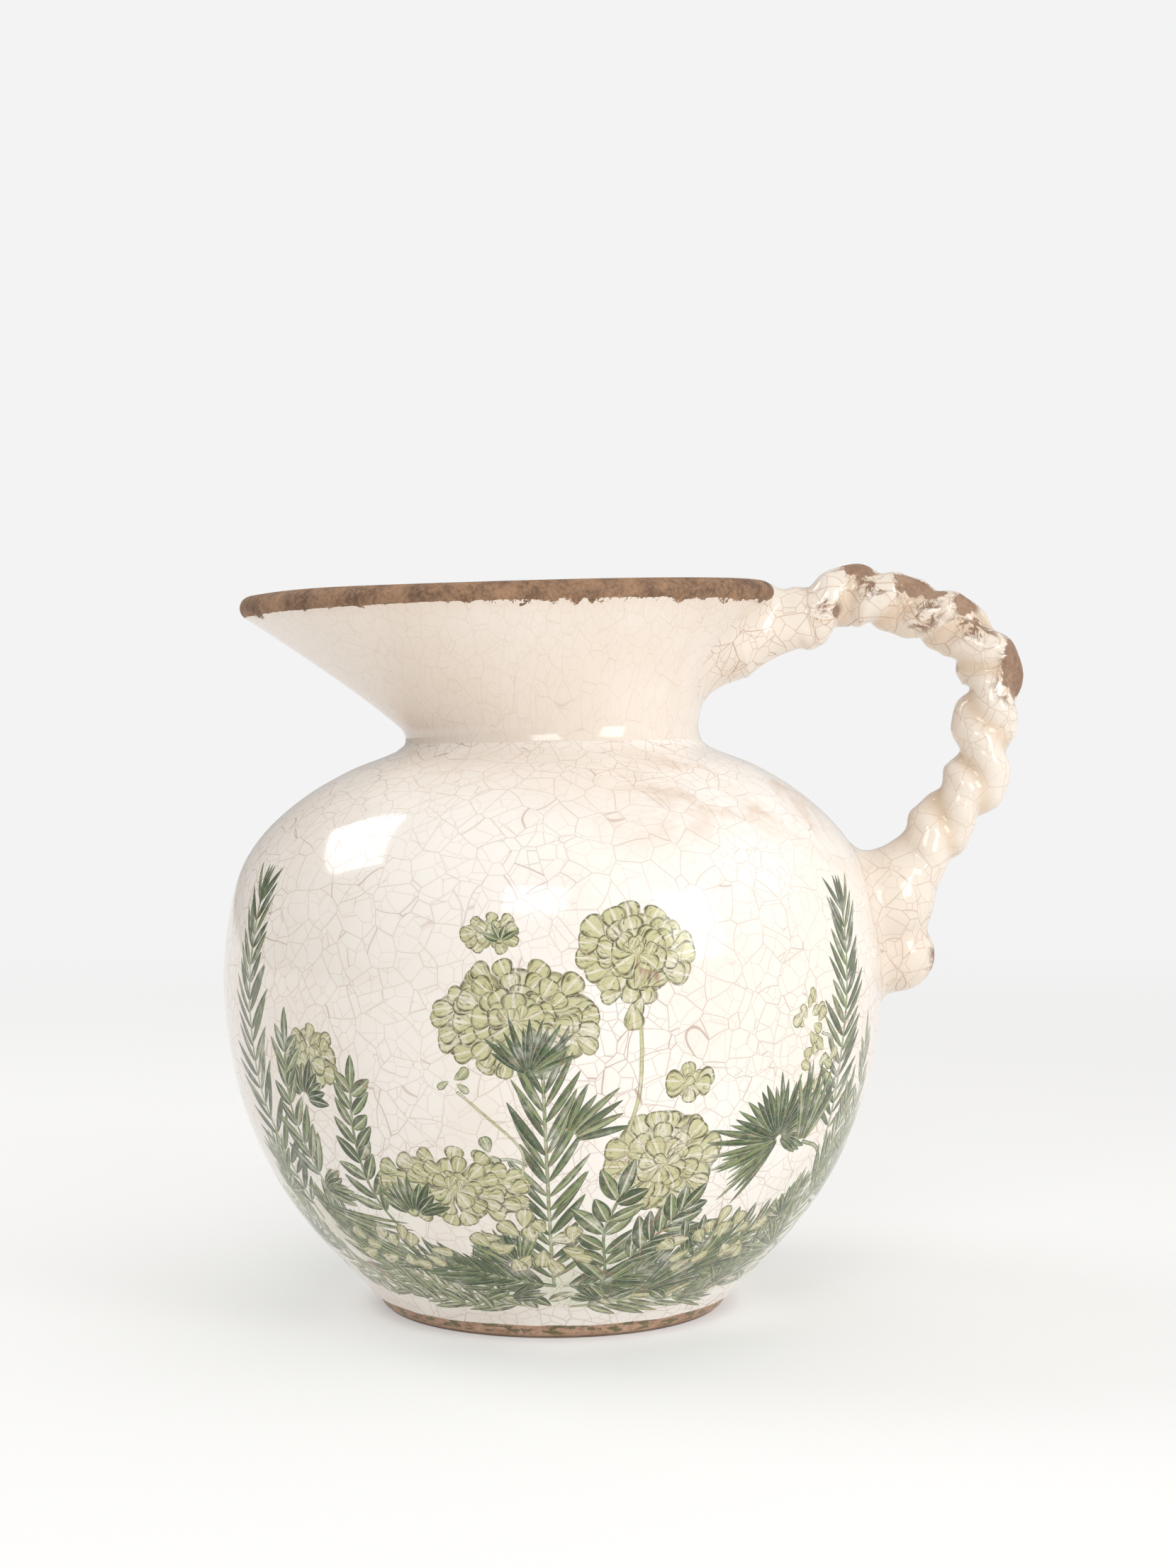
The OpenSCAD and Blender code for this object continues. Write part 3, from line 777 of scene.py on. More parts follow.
# What is drawn, where it is rooted (degrees round, mm up, seed, turn), then its own shape. Each
# row lies over those above it, and rows with the same root share one run of random draws.
spray = [
    # pale fronds low down, under everything else
    (needleSprig, (-4, 11, 1), [(0, 0), (-18, 4), (-38, 15), (-60, 34)], 14, 17, 32, 0.44, 1.25),
    (needleSprig, (-20, 10, 2), [(0, 0), (-14, 6), (-28, 18), (-40, 36)], 12, 14, 34, 0.34, 1.2),
    (needleSprig, (5, 11, 3), [(0, 0), (18, 3), (38, 12), (62, 30)], 14, 17, 32, 0.42, 1.25),
    (needleSprig, (26, 10, 4), [(0, 0), (16, 6), (30, 18), (42, 38)], 12, 14, 34, 0.34, 1.2),
    (needleSprig, (-36, 12, 5), [(0, 0), (-14, 5), (-26, 16), (-34, 34)], 12, 12, 34, 0.42, 1.2),
    (needleSprig, (46, 12, 6), [(0, 0), (10, 8), (20, 22), (26, 42)], 12, 12, 34, 0.42, 1.2),
    (needleSprig, (-10, 14, 7), [(0, 0), (-10, 8), (-22, 14), (-36, 16)], 12, 12, 36, 0.05, 1.15),
    (needleSprig, (14, 16, 8), [(0, 0), (10, 8), (22, 13), (36, 14)], 12, 12, 36, 0.05, 1.15),
    # tall middle sprig with its ruffled flower
    (flowerHead, (19.5, 54, 11), 17, 16, 3, 15, 0.99, 7.0, 3.0),
    (flowerHead, (-5, 92, 13), 22.5, 14.5, 4, 21, 0.93, 6.6, 2.9),
    (needleSprig, (1, 18, 14), [(0, 0), (-1, 20), (-2, 44), (-3, 68)], 17, 16, 38, 0.12, 1.2),
    (leafFan, (-3, 78, 15), -62, 66, 13, 15, 0.95, 0.0, 1.0),
    (leafFan, (2, 60, 16), 24, 74, 6, 17, 1.2, 0.1, 4.0, 0.1),
    # flower on its long bare stalk
    (addStem, (13, 63, 17), [(0, 0), (2.4, 10), (2.6, 22), (1.6, 38)], 0.55, 0.9),
    (flowerHead, (14, 109, 18), 16.5, 11, 3, 15, 0.99, 6.8, 3.1),
    (petalCluster, (13.5, 99, 19), 5, 3, 5, 6.5, 2.6),
    # buds
    (flowerHead, (-9, 114, 20), 8, 4.2, 2, 9, 0.9, 4.2, 1.8),
    (leafFan, (-7.5, 112, 27), -70, 60, 4, 5, 0.9, 0.2, 0.5),
    (flowerHead, (23, 75, 21), 6.5, 4.2, 1, 6, 0.99, 5.5, 2.6),
    (addStem, (-4.6, 43, 22), [(0, 0), (0.3, 9), (0, 17), (-9, 26), (-16, 32)], 0.4, 0.85),
    (petalCluster, (-15, 76, 23), 1.6, 1.2, 4, 4.0, 1.3, 0.75),
    (addStem, (-3.5, 54, 24), [(0, 0), (-4, 1.6), (-8, 1.5)], 0.5, 0.3),
    (petalCluster, (-9.8, 57, 25), 0.8, 0.8, 3, 4.2, 1.7, 0.5),
    # left: tall sprig at the side, small flower, leafy branches
    (needleSprig, (-54, 32, 31), [(0, 0), (-4, 22), (-9, 44), (-9, 68), (-8, 92)], 15, 21, 46, 0.1, 1.15),
    (flowerHead, (-42.5, 79, 32), 11, 9, 2, 11, 0.93, 5.4, 2.4),
    (leafFan, (-45, 68, 33), -50, 95, 9, 10, 1.7, 0.05, 1.5),
    (leafyStem, (-45, 38, 34), [(0, 0), (-4, 14), (-7, 30), (-6, 46)], 13, 8, 34, 0.22, 1.8),
    (leafyStem, (-29, 31, 35), [(0, 0), (-7, 14), (-9, 30), (-8, 45)], 11, 8, 44, 0.22, 1.9),
    (flowerHead, (-17, 47, 36), 22, 10, 3, 19, 0.91, 5.8, 2.6),
    (leafFan, (-26, 38, 37), -60, 70, 11, 12, 1.4, 0.08, 2.0),
    (leafFan, (-14, 34, 38), 100, 190, 9, 13, 1.1, 0.08, 2.0),
    (leafFan, (-6, 24, 39), -80, 20, 10, 15, 1.1, 0.12, 3.0),
    (leafFan, (-52, 38, 40), 95, 150, 13, 34, 1.1, 0.36, 2.0, -0.08),
    (leafFan, (-47, 42, 41), 40, 110, 7, 12, 1.6, 0.2, 1.0),
    (leafFan, (-60, 44, 45), -50, 40, 8, 16, 1.2, 0.3, 1.0),
    # low, dark, swept frond with its stem
    (addStem, (1.5, 18, 42), [(0, 0), (-12, 3.5), (-24, 8)], 0.7, 0.1),
    (needleSprig, (0, 18, 43), [(0, 0), (-12, 3.5), (-26, 9)], 13, 14, 30, 0.05, 1.0),
    (needleSprig, (3, 18, 44), [(0, 0), (12, 2), (25, 8)], 13, 13, 32, 0.05, 1.0),
    # right: leafy stems, palm, tall sprig
    (leafyStem, (12, 13, 51), [(0, 0), (0, 14), (-2, 28), (1, 40)], 14, 6, 44, 0.16, 2.5),
    (leafyStem, (14, 22, 52, 26), [(0, 0), (2, 12), (5, 27)], 12, 6, 40, 0.14, 2.2),
    (needleSprig, (58, 54, 53), [(0, 0), (-1.5, 20), (-1, 42), (1, 64)], 15, 17, 46, 0.06, 1.15),
    (petalCluster, (47, 89, 54), 4, 5, 11, 4.4, 1.7, 0.93),
    (addStem, (55, 76, 55), [(0, 0), (-3, 7), (-8, 9)], 0.5, 0.3),
    (petalCluster, (50, 75, 56), 6, 7, 13, 4.6, 1.8, 0.9),
    (leafFan, (43, 57.5, 57), -70, 60, 16, 20, 1.35, 0.03, 0.6),
    (leafFan, (43, 57.5, 57), -112, -70, 9, 25, 1.25, 0.05, 0.6, 0.05),
    (leafFan, (43, 57.5, 57), -150, -112, 7, 23, 1.1, 0.12, 0.6),
    (leafFan, (43, 57.5, 57), 60, 125, 8, 13, 1.2, 0.15, 0.6),
    (leafFan, (49, 53, 60), -14, 38, 8, 24, 1.2, 0.15, 3.0),
    (addStem, (61, 38, 61), [(0, 0), (-1.5, 9), (-8, 16), (-17, 19)], 0.6, 0.2),
    (leafyStem, (60, 36, 62), [(0, 0), (3, 14), (5, 30)], 13, 7, 34, 0.3, 1.5),
    (leafyStem, (67, 28, 63), [(0, 0), (3, 14), (4, 34), (2, 54)], 13, 10, 32, 0.4, 1.4),
    (leafFan, (55, 33, 64), -80, 20, 8, 11, 1.5, 0.2, 1.0),
    (addStem, (30, 27, 65), [(0, 0), (9, 2), (19, 2)], 0.45, 0.2),
    (leafFan, (27, 34, 66), 80, 160, 7, 13, 1.3, 0.05, 1.0),
    *[(addInk, (28 + 3.6 * k, 31 + 0.4 * k, 70 + k), 0, 0, -14 + 5 * k, 8, 1.4, 0.12) for k in range(6)],
    (leafFan, (33, 20, 80), 10, 105, 13, 21, 1.2, 0.1, 2.0),
    (leafFan, (22, 14, 81), 20, 85, 10, 24, 1.1, 0.14, 2.0),
    (leafFan, (63, 22, 82), -110, -20, 12, 21, 1.2, 0.25, 2.0),
    (leafFan, (48, 13, 83), -70, 100, 13, 15, 1.2, 0.2, 1.0),
    (leafFan, (72, 34, 84), -60, 40, 10, 18, 1.1, 0.4, 1.0),
    # lowest row: curled leaves and outlined scraps just over the foot
    *[(addInk, (-60 + 5.2 * k, 15, 90 + k), 0, 0, 130 + 14 * (k % 3), 8, 1.9, 0.3, 0.25)
      for k in range(11)],
    *[(addInk, (-16 + 5.2 * k, 13.0 + (k % 3), 100 + k), 0, 0, 60 + 35 * (k % 3), 8, 2.0,
       0.9 if k % 2 else 0.15, 0.1) for k in range(17)],
    (leafFan, (34, 11, 130), 50, 115, 9, 17, 1.0, 0.35, 1.0),
    (leafFan, (-10, 13, 131), 40, 80, 5, 11, 1.5, 0.08, 1.0),
    (leafFan, (14, 13, 135), -80, -40, 5, 11, 1.5, 0.08, 1.0),
    (petalCluster, (-3, 31, 132), 12, 7, 16, 6, 2.4, 0.95),
    (petalCluster, (37, 29, 133), 14, 7, 16, 6, 2.4, 0.93),
    (petalCluster, (-34, 27, 134), 12, 5, 12, 6, 2.4, 0.93),
]


def frontSpray():
    rooted = {}
    for draw, root, *shape in spray:
        if root not in rooted:
            rooted[root] = motif(*root)
        draw(rooted[root], *shape)


def bushFill():
    # leaf sprays that carry the lowest band round to the next print
    rnd = random.Random(5)
    for k in range(22):
        at = 70 + 46 * (k + rnd.random()) / 22
        high = rnd.choice((12, 17, 23, 30, 38, 48))
        leafFan(motif(at, high, 200 + k, rnd.uniform(-50, 50)), -50, 50, 8,
                rnd.uniform(12, 20), 1.15, rnd.uniform(0.1, 0.45), 1.0)
    for k in range(9):
        at = 72 + 42 * (k + rnd.random()) / 9
        petalCluster(motif(at, rnd.uniform(20, 48), 240 + k), 7, 5, 9, 5.5, 2.2, 0.93)


def leafWidth(kind, along):
    power, roundness = (0.85, 0.8) if kind == leafKind else (1.6, 0.5)
    if kind == stemKind:
        return np.ones_like(along)
    return np.maximum(np.sin(math.pi * np.clip(along, 0, 1) ** power), 0) ** roundness


outlineSteps = {
    # where the points of a printed shape's edge stand along it
    leafKind: [0.0, 0.1, 0.28, 0.5, 0.72, 0.9, 1.0],
    petalKind: [0.0, 0.12, 0.32, 0.55, 0.74, 0.88, 0.96, 1.0],
    stemKind: [0.0, 1.0],
}


def leafOutline(row):
    _, _, px, py, heading, length, halfWidth, bend, kind, _, _ = row
    along = np.array(outlineSteps[kind])
    wide = leafWidth(kind, along) * 1.03
    sides = [(a, -w) for a, w in zip(along, wide)]
    sides += [(a, w) for a, w in zip(along[::-1], wide[::-1]) if w > 0.02]
    sides = np.array([p for i, p in enumerate(sides) if i == 0 or abs(p[1]) > 0.02 or p[0] > 0.99])
    x = sides[:, 0] * length
    y = sides[:, 1] * halfWidth + bend * length * sides[:, 0] * (1 - sides[:, 0])
    c, s = math.cos(heading), math.sin(heading)
    return px + x * c - y * s, py + x * s + y * c


def leafSpots(rows, which, angle, far):
    # leaf coordinates of points (angle, far) in the leaves numbered by which
    rootAngle, rootFar, px, py, heading, length, halfWidth, bend, kind, tone, seed = rows[which].T
    r, _ = outlineAt(far)
    across = (angle - rootAngle) * r - px
    up = far - rootFar - py
    c, s = np.cos(heading), np.sin(heading)
    along = (across * c + up * s) / length
    side = (-across * s + up * c - bend * length * along * (1 - along)) / halfWidth
    return np.stack([along, side, seed], 1), np.stack([kind, tone, halfWidth / length], 1)


# The globe's print is cut in a flat layout: angle times the widest radius across, and distance
# along the outline up. Its seam runs up the side where the handle is.
layoutR = float(jug["bodyR"])
layoutWide = 2 * math.pi * layoutR
seamAt = -math.pi / 2 - math.pi
hair = 1e-3      # two points of the layout closer than this are one


def printedShapes(points):
    # adds the edge of every printed shape to the layout's points; returns faces and their rows
    frontSpray()
    bushFill()
    single = list(prints)
    for k in range(1, printCopies):
        prints.extend((row[0] + k * 2 * math.pi / printCopies,) + row[1:] for row in single)
    faces, rows = [], []
    for row in prints:
        x, y = leafOutline(row)
        far = np.clip(row[1] + y, glazeStart + 0.5, outlineEnd - 1)
        r, _ = outlineAt(far)
        u = (row[0] + x / r - seamAt) * layoutR
        if np.sum(u * np.roll(far, -1) - np.roll(u, -1) * far) < 0:
            u, far = u[::-1], far[::-1]
        for shift in (-2, -1, 0, 1):
            moved = u + shift * layoutWide
            if moved.max() < 0 or moved.min() > layoutWide:
                continue
            faces.append(list(range(len(points), len(points) + len(u))))
            points.extend(Vector((a, b)) for a, b in zip(moved, far))
            rows.append((row[0] + shift * 2 * math.pi,) + row[1:])
    return faces, np.array(rows, float)


def cutLayout():
    # triangles of the layout, and for each the printed shapes that it lies in
    columns, levels = globe["columns"], globe["rows"]
    points, edges = [], []
    across = np.linspace(0, layoutWide, columns + 1)
    for v in np.linspace(glazeStart, outlineEnd, levels + 1):
        points.extend(Vector((u, v)) for u in across)
    line = columns + 1
    for j in range(columns):
        edges += [(j, j + 1), (levels * line + j, levels * line + j + 1)]
    for i in range(levels):
        edges += [(i * line, (i + 1) * line), (i * line + columns, (i + 1) * line + columns)]
    faces, rows = printedShapes(points)
    made = delaunay_2d_cdt(points, edges, faces, 0, 1e-4)
    flat = np.array([tuple(v) for v in made[0]])
    tris = np.array(made[2], int)
    middle = flat[tris].mean(1)
    inside = (middle[:, 0] > 0) & (middle[:, 0] < layoutWide)
    return flat, tris[inside], [o for o, k in zip(made[5], inside) if k], rows


def rollEdge(flat, angle, far, place, normal):
    # rings rolled under the lowest line, so that the glaze ends with a thickness
    low = [i for i in np.argsort(flat[:, 0]) if abs(flat[i, 1] - glazeStart) < hair
           and -hair < flat[i, 0] < layoutWide + hair]
    rings = []
    for depth, drop in globe["edgeRoll"]:
        for i in low:
            down = unit(globePoint(angle[i], far[i] - 1) - globePoint(angle[i], far[i]))
            rings.append((place[i] - normal[i] * depth + down * drop, unit(down - normal[i] * depth),
                          (flat[i, 0], glazeStart - 2 * depth)))
    n, start = len(low), len(flat)
    tris = []
    for j in range(n - 1):
        a, b = low[j], low[j + 1]
        c, d = start + j, start + j + 1
        e, f = c + n, d + n
        tris += [(a, c, d), (a, d, b), (c, e, f), (c, f, d)]
    return [list(part) for part in zip(*rings)], tris, n


def sewnPoints(flat, ringLength):
    # points on the last column become those on the first
    first = {round(v, 2): i for i, (u, v) in enumerate(flat) if abs(u) < hair}
    same = np.arange(len(flat) + 2 * ringLength)
    for i, (u, v) in enumerate(flat):
        if abs(u - layoutWide) < hair:
            same[i] = first.get(round(v, 2), i)
    for k in (0, 1):
        start = len(flat) + k * ringLength
        same[start + ringLength - 1] = start
    return same


def inkLayers(tris, owners, rows, angle, far, cornerCount):
    # leaf coordinates at every corner, for the printed shape on top and the one under it
    layers = {}
    for name, depth in (("printTop", 1), ("printUnder", 2)):
        spot = np.tile([0.5, 9.0, 0.0], (cornerCount, 1))   # well outside any leaf
        form = np.zeros_like(spot)
        which = np.array([sorted(o)[-depth] if len(o) >= depth else -1 for o in owners])
        has = np.flatnonzero(which >= 0)
        corners = (has[:, None] * 3 + np.arange(3)).ravel()
        verts = tris[has].ravel()
        spot[corners], form[corners] = leafSpots(rows, np.repeat(which[has], 3), angle[verts], far[verts])
        layers[name], layers[name + "Form"] = spot, form
    return layers


def buildGlobe():
    flat, tris, owners, rows = cutLayout()
    angle = flat[:, 0] / layoutR + seamAt
    wave = globe["edgeWave"] * (0.6 * ripple(angle * 3, 0, 1.9) + 0.4 * ripple(angle * 9, 0, 0.4))
    far = flat[:, 1] + wave * np.exp(-(flat[:, 1] - glazeStart) / 2.5)
    place, normal = globePoint(angle, far), globeNormal(angle, far)
    (ringPlace, ringNormal, ringFlat), ringTris, ringLength = rollEdge(flat, angle, far, place, normal)
    place, normal = np.vstack([place, ringPlace]), np.vstack([normal, ringNormal])
    layout = np.vstack([flat, ringFlat])
    same = sewnPoints(flat, ringLength)
    layers = inkLayers(tris, owners, rows, angle, flat[:, 1], 3 * (len(tris) + len(ringTris)))
    tris = np.vstack([tris, ringTris])
    uv = np.stack([layout[:, 0] / layoutWide,
                   (layout[:, 1] - glazeStart + 2) / (outlineEnd - glazeStart + 3)], 1)
    used, where = np.unique(same[tris].ravel(), return_inverse=True)
    sewn = where.reshape(-1, 3)
    fair = (sewn[:, 0] != sewn[:, 1]) & (sewn[:, 1] != sewn[:, 2]) & (sewn[:, 0] != sewn[:, 2])
    cornerFair = np.repeat(fair, 3)
    made = makeObject("globeOuter", place[used], sewn[fair], finishes["printed"],
                      uv[tris.ravel()][cornerFair], normal[used])
    for name, values in layers.items():
        attribute = made.data.attributes.new(name, "FLOAT_VECTOR", "CORNER")
        attribute.data.foreach_set("vector", values[cornerFair].astype(np.float32).ravel())
    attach(made, "root")
    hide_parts("globe_body", "globe_glaze")
    print("globe:", len(used), "points,", int(fair.sum()), "faces,", len(prints), "printed strokes")


buildGlobe()


inside = {"columns": 144, "rows": 96, "floorRings": 14, "corner": 6.0}   # corner: reach of its curve


def buildInside():
    far = np.linspace(0, outlineEnd, 400)
    r, z = outlineAt(far, jug["wall"])
    keep = z > jug["floorZ"] + inside["corner"]
    wallR, wallZ = r[keep], np.minimum(z[keep], jug["neckH"])
    floorR = float(np.interp(jug["floorZ"], z, r)) - inside["corner"]
    bend = np.linspace(0, 1, 9)[1:-1, None]
    start, corner, end = (np.array(p) for p in (
        (floorR, jug["floorZ"]), (floorR + inside["corner"], jug["floorZ"]), (wallR[0], wallZ[0])))
    turn = bowed(start, corner, end, bend)
    flatR = np.linspace(0.4, floorR, inside["floorRings"])
    curve = np.vstack([np.stack([flatR, np.full_like(flatR, jug["floorZ"])], 1), turn,
                       np.stack([wallR, wallZ], 1), [(jug["neckR"] - jug["wall"], jug["neckH"])]])
    curve = alongCurve(curve, inside["rows"])
    angle = roundAngles(inside["columns"])
    points = spun(curve, angle)
    leaning = smoothStep(points[..., 2], jug["tiltLow"], jug["neckH"])
    points[..., 2] += jug["creaseSlope"] * points[..., 0] * leaning
    points = points.reshape(-1, 3)
    faces, uv = turnedOver(inside["rows"], inside["columns"])
    faces.append(tuple(range(inside["columns"])))
    uv += capUv(angle, 0.001)
    made = makeObject("globeInside", points, faces, finishes["lining"], uv)
    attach(made, "root")
    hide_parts("globe_lining")
    print("inside of the globe:", len(faces), "faces")


buildInside()


collar = {
    "spoutReach": -collarLow[0],   # from the jug's middle
    "rimBack": collarHigh[0],
    "mouthW": collarHigh[1] - collarLow[1],
    "lipR": 3.5,
    "pinch": 0.35,         # how much narrower the mouth is at the spout
    "rake": (60, 32),      # lean of the wall at the handle and at the spout, degrees above level
    "bend": (1.9, 1.13),   # how late the wall flares out, at the same two places
    "columns": 288,
    "wallRows": 46,
    "lipRows": 18,
    "filletRows": 9,
    "fillet": 2.6,         # reach of the soft crease over the globe
    "filletTop": 0.065,    # share of the wall's height where the crease ends
    "filletLift": 0.08,
    "neckBlend": 0.12,     # share of the height over which the lining turns into the globe's
    "bareOut": (0.7, -1.3),   # bare clay below the lip's edge at the handle and at the spout
    "bareIn": 2.0,
}


def backToSpout(f, ends):
    # a value that goes from the handle's side of the collar to the spout's; f in radians
    return mix(ends[0], ends[1], (1 - np.cos(f)) / 2)


def rakeAt(f):
    return np.radians(backToSpout(f, collar["rake"]))


def rimZ(x):
    return jug["neckH"] + jug["collarH"] + jug["rimSlope"] * x


def neckPoint(f, inset=0.0):
    x = (jug["neckR"] - inset) * np.cos(f)
    return np.stack([x, (jug["neckR"] - inset) * np.sin(f), jug["neckH"] + jug["creaseSlope"] * x], -1)


def mouthPoint(f):
    lipR = collar["lipR"]
    hang = lipR * (1 - np.sin(rakeAt(f)))
    half = (collar["rimBack"] + collar["spoutReach"]) / 2
    x = (collar["rimBack"] - collar["spoutReach"]) / 2 + (half - hang) * np.cos(f)
    narrow = 1 - collar["pinch"] * np.maximum(0, -np.cos(f))**6
    y = (collar["mouthW"] / 2 - hang) * np.sin(f) * narrow
    return np.stack([x, y, rimZ(x) - lipR * (1 + np.cos(rakeAt(f)))], -1)


def collarPoint(f, t):
    a, b = neckPoint(f), mouthPoint(f)
    k = np.asarray(t) ** backToSpout(f, collar["bend"])
    t = np.asarray(t) * np.ones_like(f)
    return np.stack([mix(a[..., 0], b[..., 0], k), mix(a[..., 1], b[..., 1], k),
                     mix(a[..., 2], b[..., 2], t)], -1)


def collarUp(f, t):
    return unit(collarPoint(f, np.minimum(1, t + 0.02)) - collarPoint(f, np.maximum(0, t - 0.02)))


def collarOut(f, t):
    around = collarPoint(f + 0.015, t) - collarPoint(f - 0.015, t)
    return unit(np.cross(around, collarUp(f, t)))


def lipCentre(f):
    return collarPoint(f, np.ones_like(f)) - collar["lipR"] * collarOut(f, np.ones_like(f))


def buildCollar():
    f = roundAngles(collar["columns"])
    one = np.ones_like(f)
    rows, toClay = [], []
    # soft crease: from the globe's shoulder round to the wall
    shoulder = globePoint(f + math.pi / 2, (outlineEnd - collar["fillet"]) * one)
    creased = neckPoint(f)
    raised = collarPoint(f, collar["filletTop"] * one)
    for k in np.linspace(0, 1, collar["filletRows"], endpoint=False):
        soft = bowed(shoulder, creased, raised, k)
        lift = collar["filletLift"] * np.sin(math.pi * k)
        rows.append(soft + lift * unit(shoulder + raised - 2 * creased))
        toClay.append(one * 40)
    edge = lipCentre(f) + collar["lipR"] * collarOut(f, one)
    bare = backToSpout(f, collar["bareOut"])
    for t in mix(collar["filletTop"], 1, np.linspace(0, 1, collar["wallRows"])):
        p = collarPoint(f, t * one)
        rows.append(p)
        toClay.append(np.linalg.norm(edge - p, axis=1) - bare + 0.8 * ripple(f * 2, 0, 3.1))
    centre, out, up = lipCentre(f), collarOut(f, one), collarUp(f, one)
    for a in np.linspace(0, math.pi, collar["lipRows"])[1:-1]:
        rows.append(centre + collar["lipR"] * (math.cos(a) * out + math.sin(a) * up))
        toClay.append(-one * 4)
    depth = np.linspace(2 * collar["lipR"], jug["wall"], collar["wallRows"])
    insideLevels = np.linspace(1, 0, collar["wallRows"])
    for t, d in zip(insideLevels, depth):
        p = collarPoint(f, t * one) - d * collarOut(f, t * one)
        if t < collar["neckBlend"]:
            p = mix(p, neckPoint(f, jug["wall"]), 1 - t / collar["neckBlend"])
        rows.append(p)
        toClay.append(one * ((1 - t) * jug["collarH"] - collar["bareIn"]) + 0.5 * ripple(f * 3, 0, 1.3))
    faces = ringFaces(len(rows), collar["columns"])
    made = makeObject("collar", np.vstack(rows), faces, finishes["collar"],
                      gridUv(len(rows), collar["columns"]))
    pointValues(made, "toClay", np.concatenate(toClay))
    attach(made, "root")
    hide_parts("neck_collar", "collar_glaze", "collar_lining")
    print("collar:", len(faces), "faces")


buildCollar()


foot = {
    "columns": 240,
    "ringWidth": 9.0,
    "round": 0.9,          # the worn outer edge it stands on
    "innerRound": 1.2,
    "tuck": 0.55,          # how far the clay lies under the glaze's lower edge
    "standRows": 8,
    "recess": [(0.6, 2.2), (1.3, 3.2), (2.2, 3.8)],   # inwards from the ring, and up
    "baseRings": 10,
    "rough": 0.18,
}


def quarterTurn(first, count):
    return [(math.cos(math.radians(a)), math.sin(math.radians(a))) for a in np.linspace(first, 90, count)]


def buildFoot():
    outerR, innerR, recess = jug["footR"], jug["footR"] - foot["ringWidth"], foot["recess"]
    topFar = glazeStart + 2.0
    topR, topZ = outlineAt(np.array([topFar]), foot["tuck"])
    wallR, wallZ = outlineAt(np.linspace(topFar, 1.2, 9), foot["tuck"] * 0.6)
    curve = [(topR[0], topZ[0])] + list(zip(wallR[1:], wallZ[1:]))
    curve += [(outerR - foot["tuck"] * 0.6 - foot["round"] * (1 - c), foot["round"] * (1 - s))
              for c, s in quarterTurn(20, 5)]
    outerCount = len(curve)
    inner = foot["innerRound"]
    for share in np.linspace(0, 1, foot["standRows"])[1:]:
        curve.append((mix(outerR - 1.5, innerR + inner, share), 0.0))
    curve += [(innerR + inner - inner * s, inner * (1 - c)) for c, s in quarterTurn(15, 5)]
    curve += [(innerR - inwards, z) for inwards, z in recess]
    for share in np.linspace(0, 1, foot["baseRings"])[1:]:
        curve.append((mix(innerR - recess[-1][0], 0.5, share),
                      mix(recess[-1][1], jug["footH"] - 0.05, min(1, 4 * share))))
    angle = roundAngles(foot["columns"])
    points = spun(np.array(curve), angle)
    for i, (r, z) in enumerate(curve[:outerCount]):
        if z > 0.01:
            rr = r - foot["rough"] * (1 + ripple(angle * 2, z * 9, 2.2)) / 2
            points[i, :, 0], points[i, :, 1] = rr * np.cos(angle), rr * np.sin(angle)
    outer = np.repeat(np.arange(len(curve)) < outerCount, len(angle))
    count, columns = len(curve), foot["columns"]
    faces, uv = turnedOver(count, columns)
    faces.append(tuple(range(count * columns - 1, (count - 1) * columns - 1, -1)))
    uv += capUv(angle, 0.999)
    made = makeObject("foot", points.reshape(-1, 3), faces, finishes["foot"], uv)
    pointValues(made, "outerWall", outer)
    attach(made, "root")
    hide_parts("foot_ring")
    print("foot:", len(faces), "faces")


buildFoot()


rope = {
    "out": 33.0,           # how far its line stands out past the globe
    "radius": 9.6,
    "strandR": 7.4,        # each strand's own radius; its middle lies radius - strandR off the line
    "halfTurns": 7.6,
    "firstTurn": 20.0,
    "rootLevel": 0.71,     # share of the neck's height
    "rootR": 14.0,
    "buttonR": 11.0,
    "skew": 6.0,           # the lower end sits this far to the front
    "startGap": 9.0,       # from the rim to the start of the line
    "endGap": 0.8,
    # share of "out" past the globe, and share of the way up from the lower root to the start
    "route": [(-0.26, 1.08), (0.30, 1.03), (0.73, 0.945), (0.98, 0.785), (0.9, 0.625), (0.85, 0.45),
              (0.58, 0.3)],
    "samples": 420,
    "voxel": 0.75,
    "coarse": 4,           # one coarse cell is this many voxels
    "tuck": 0.25,          # how far the joint's open edge goes under the globe's surface
    "weld": 6.0,           # reach of the soft joint with the globe and collar
    "valley": 1.8,         # softness of the groove between the strands
    "shrink": 0.36,        # keeps the softened strands inside the frame's
    "rootNeck": 12.5,      # the clay drawn up from the lower root to the rope
    "wadFrom": (11.5, 15.5),   # half height and half width of the upper root at the collar
    "wadTo": (8.4, 8.8),       # and at the rope
    "wadAt": 0.72,         # share of the collar's height where it is rooted
    "nearCells": 1.9,      # coarse cells this close to the surface are worked out finely
    # the box that the field is sampled in
    "low": (40.0, -26.0, 78.0),
    "high": (141.0, 21.0, 217.0),
}


def radiusAt(z):
    return np.interp(z, outline[:, 1], outline[:, 0])


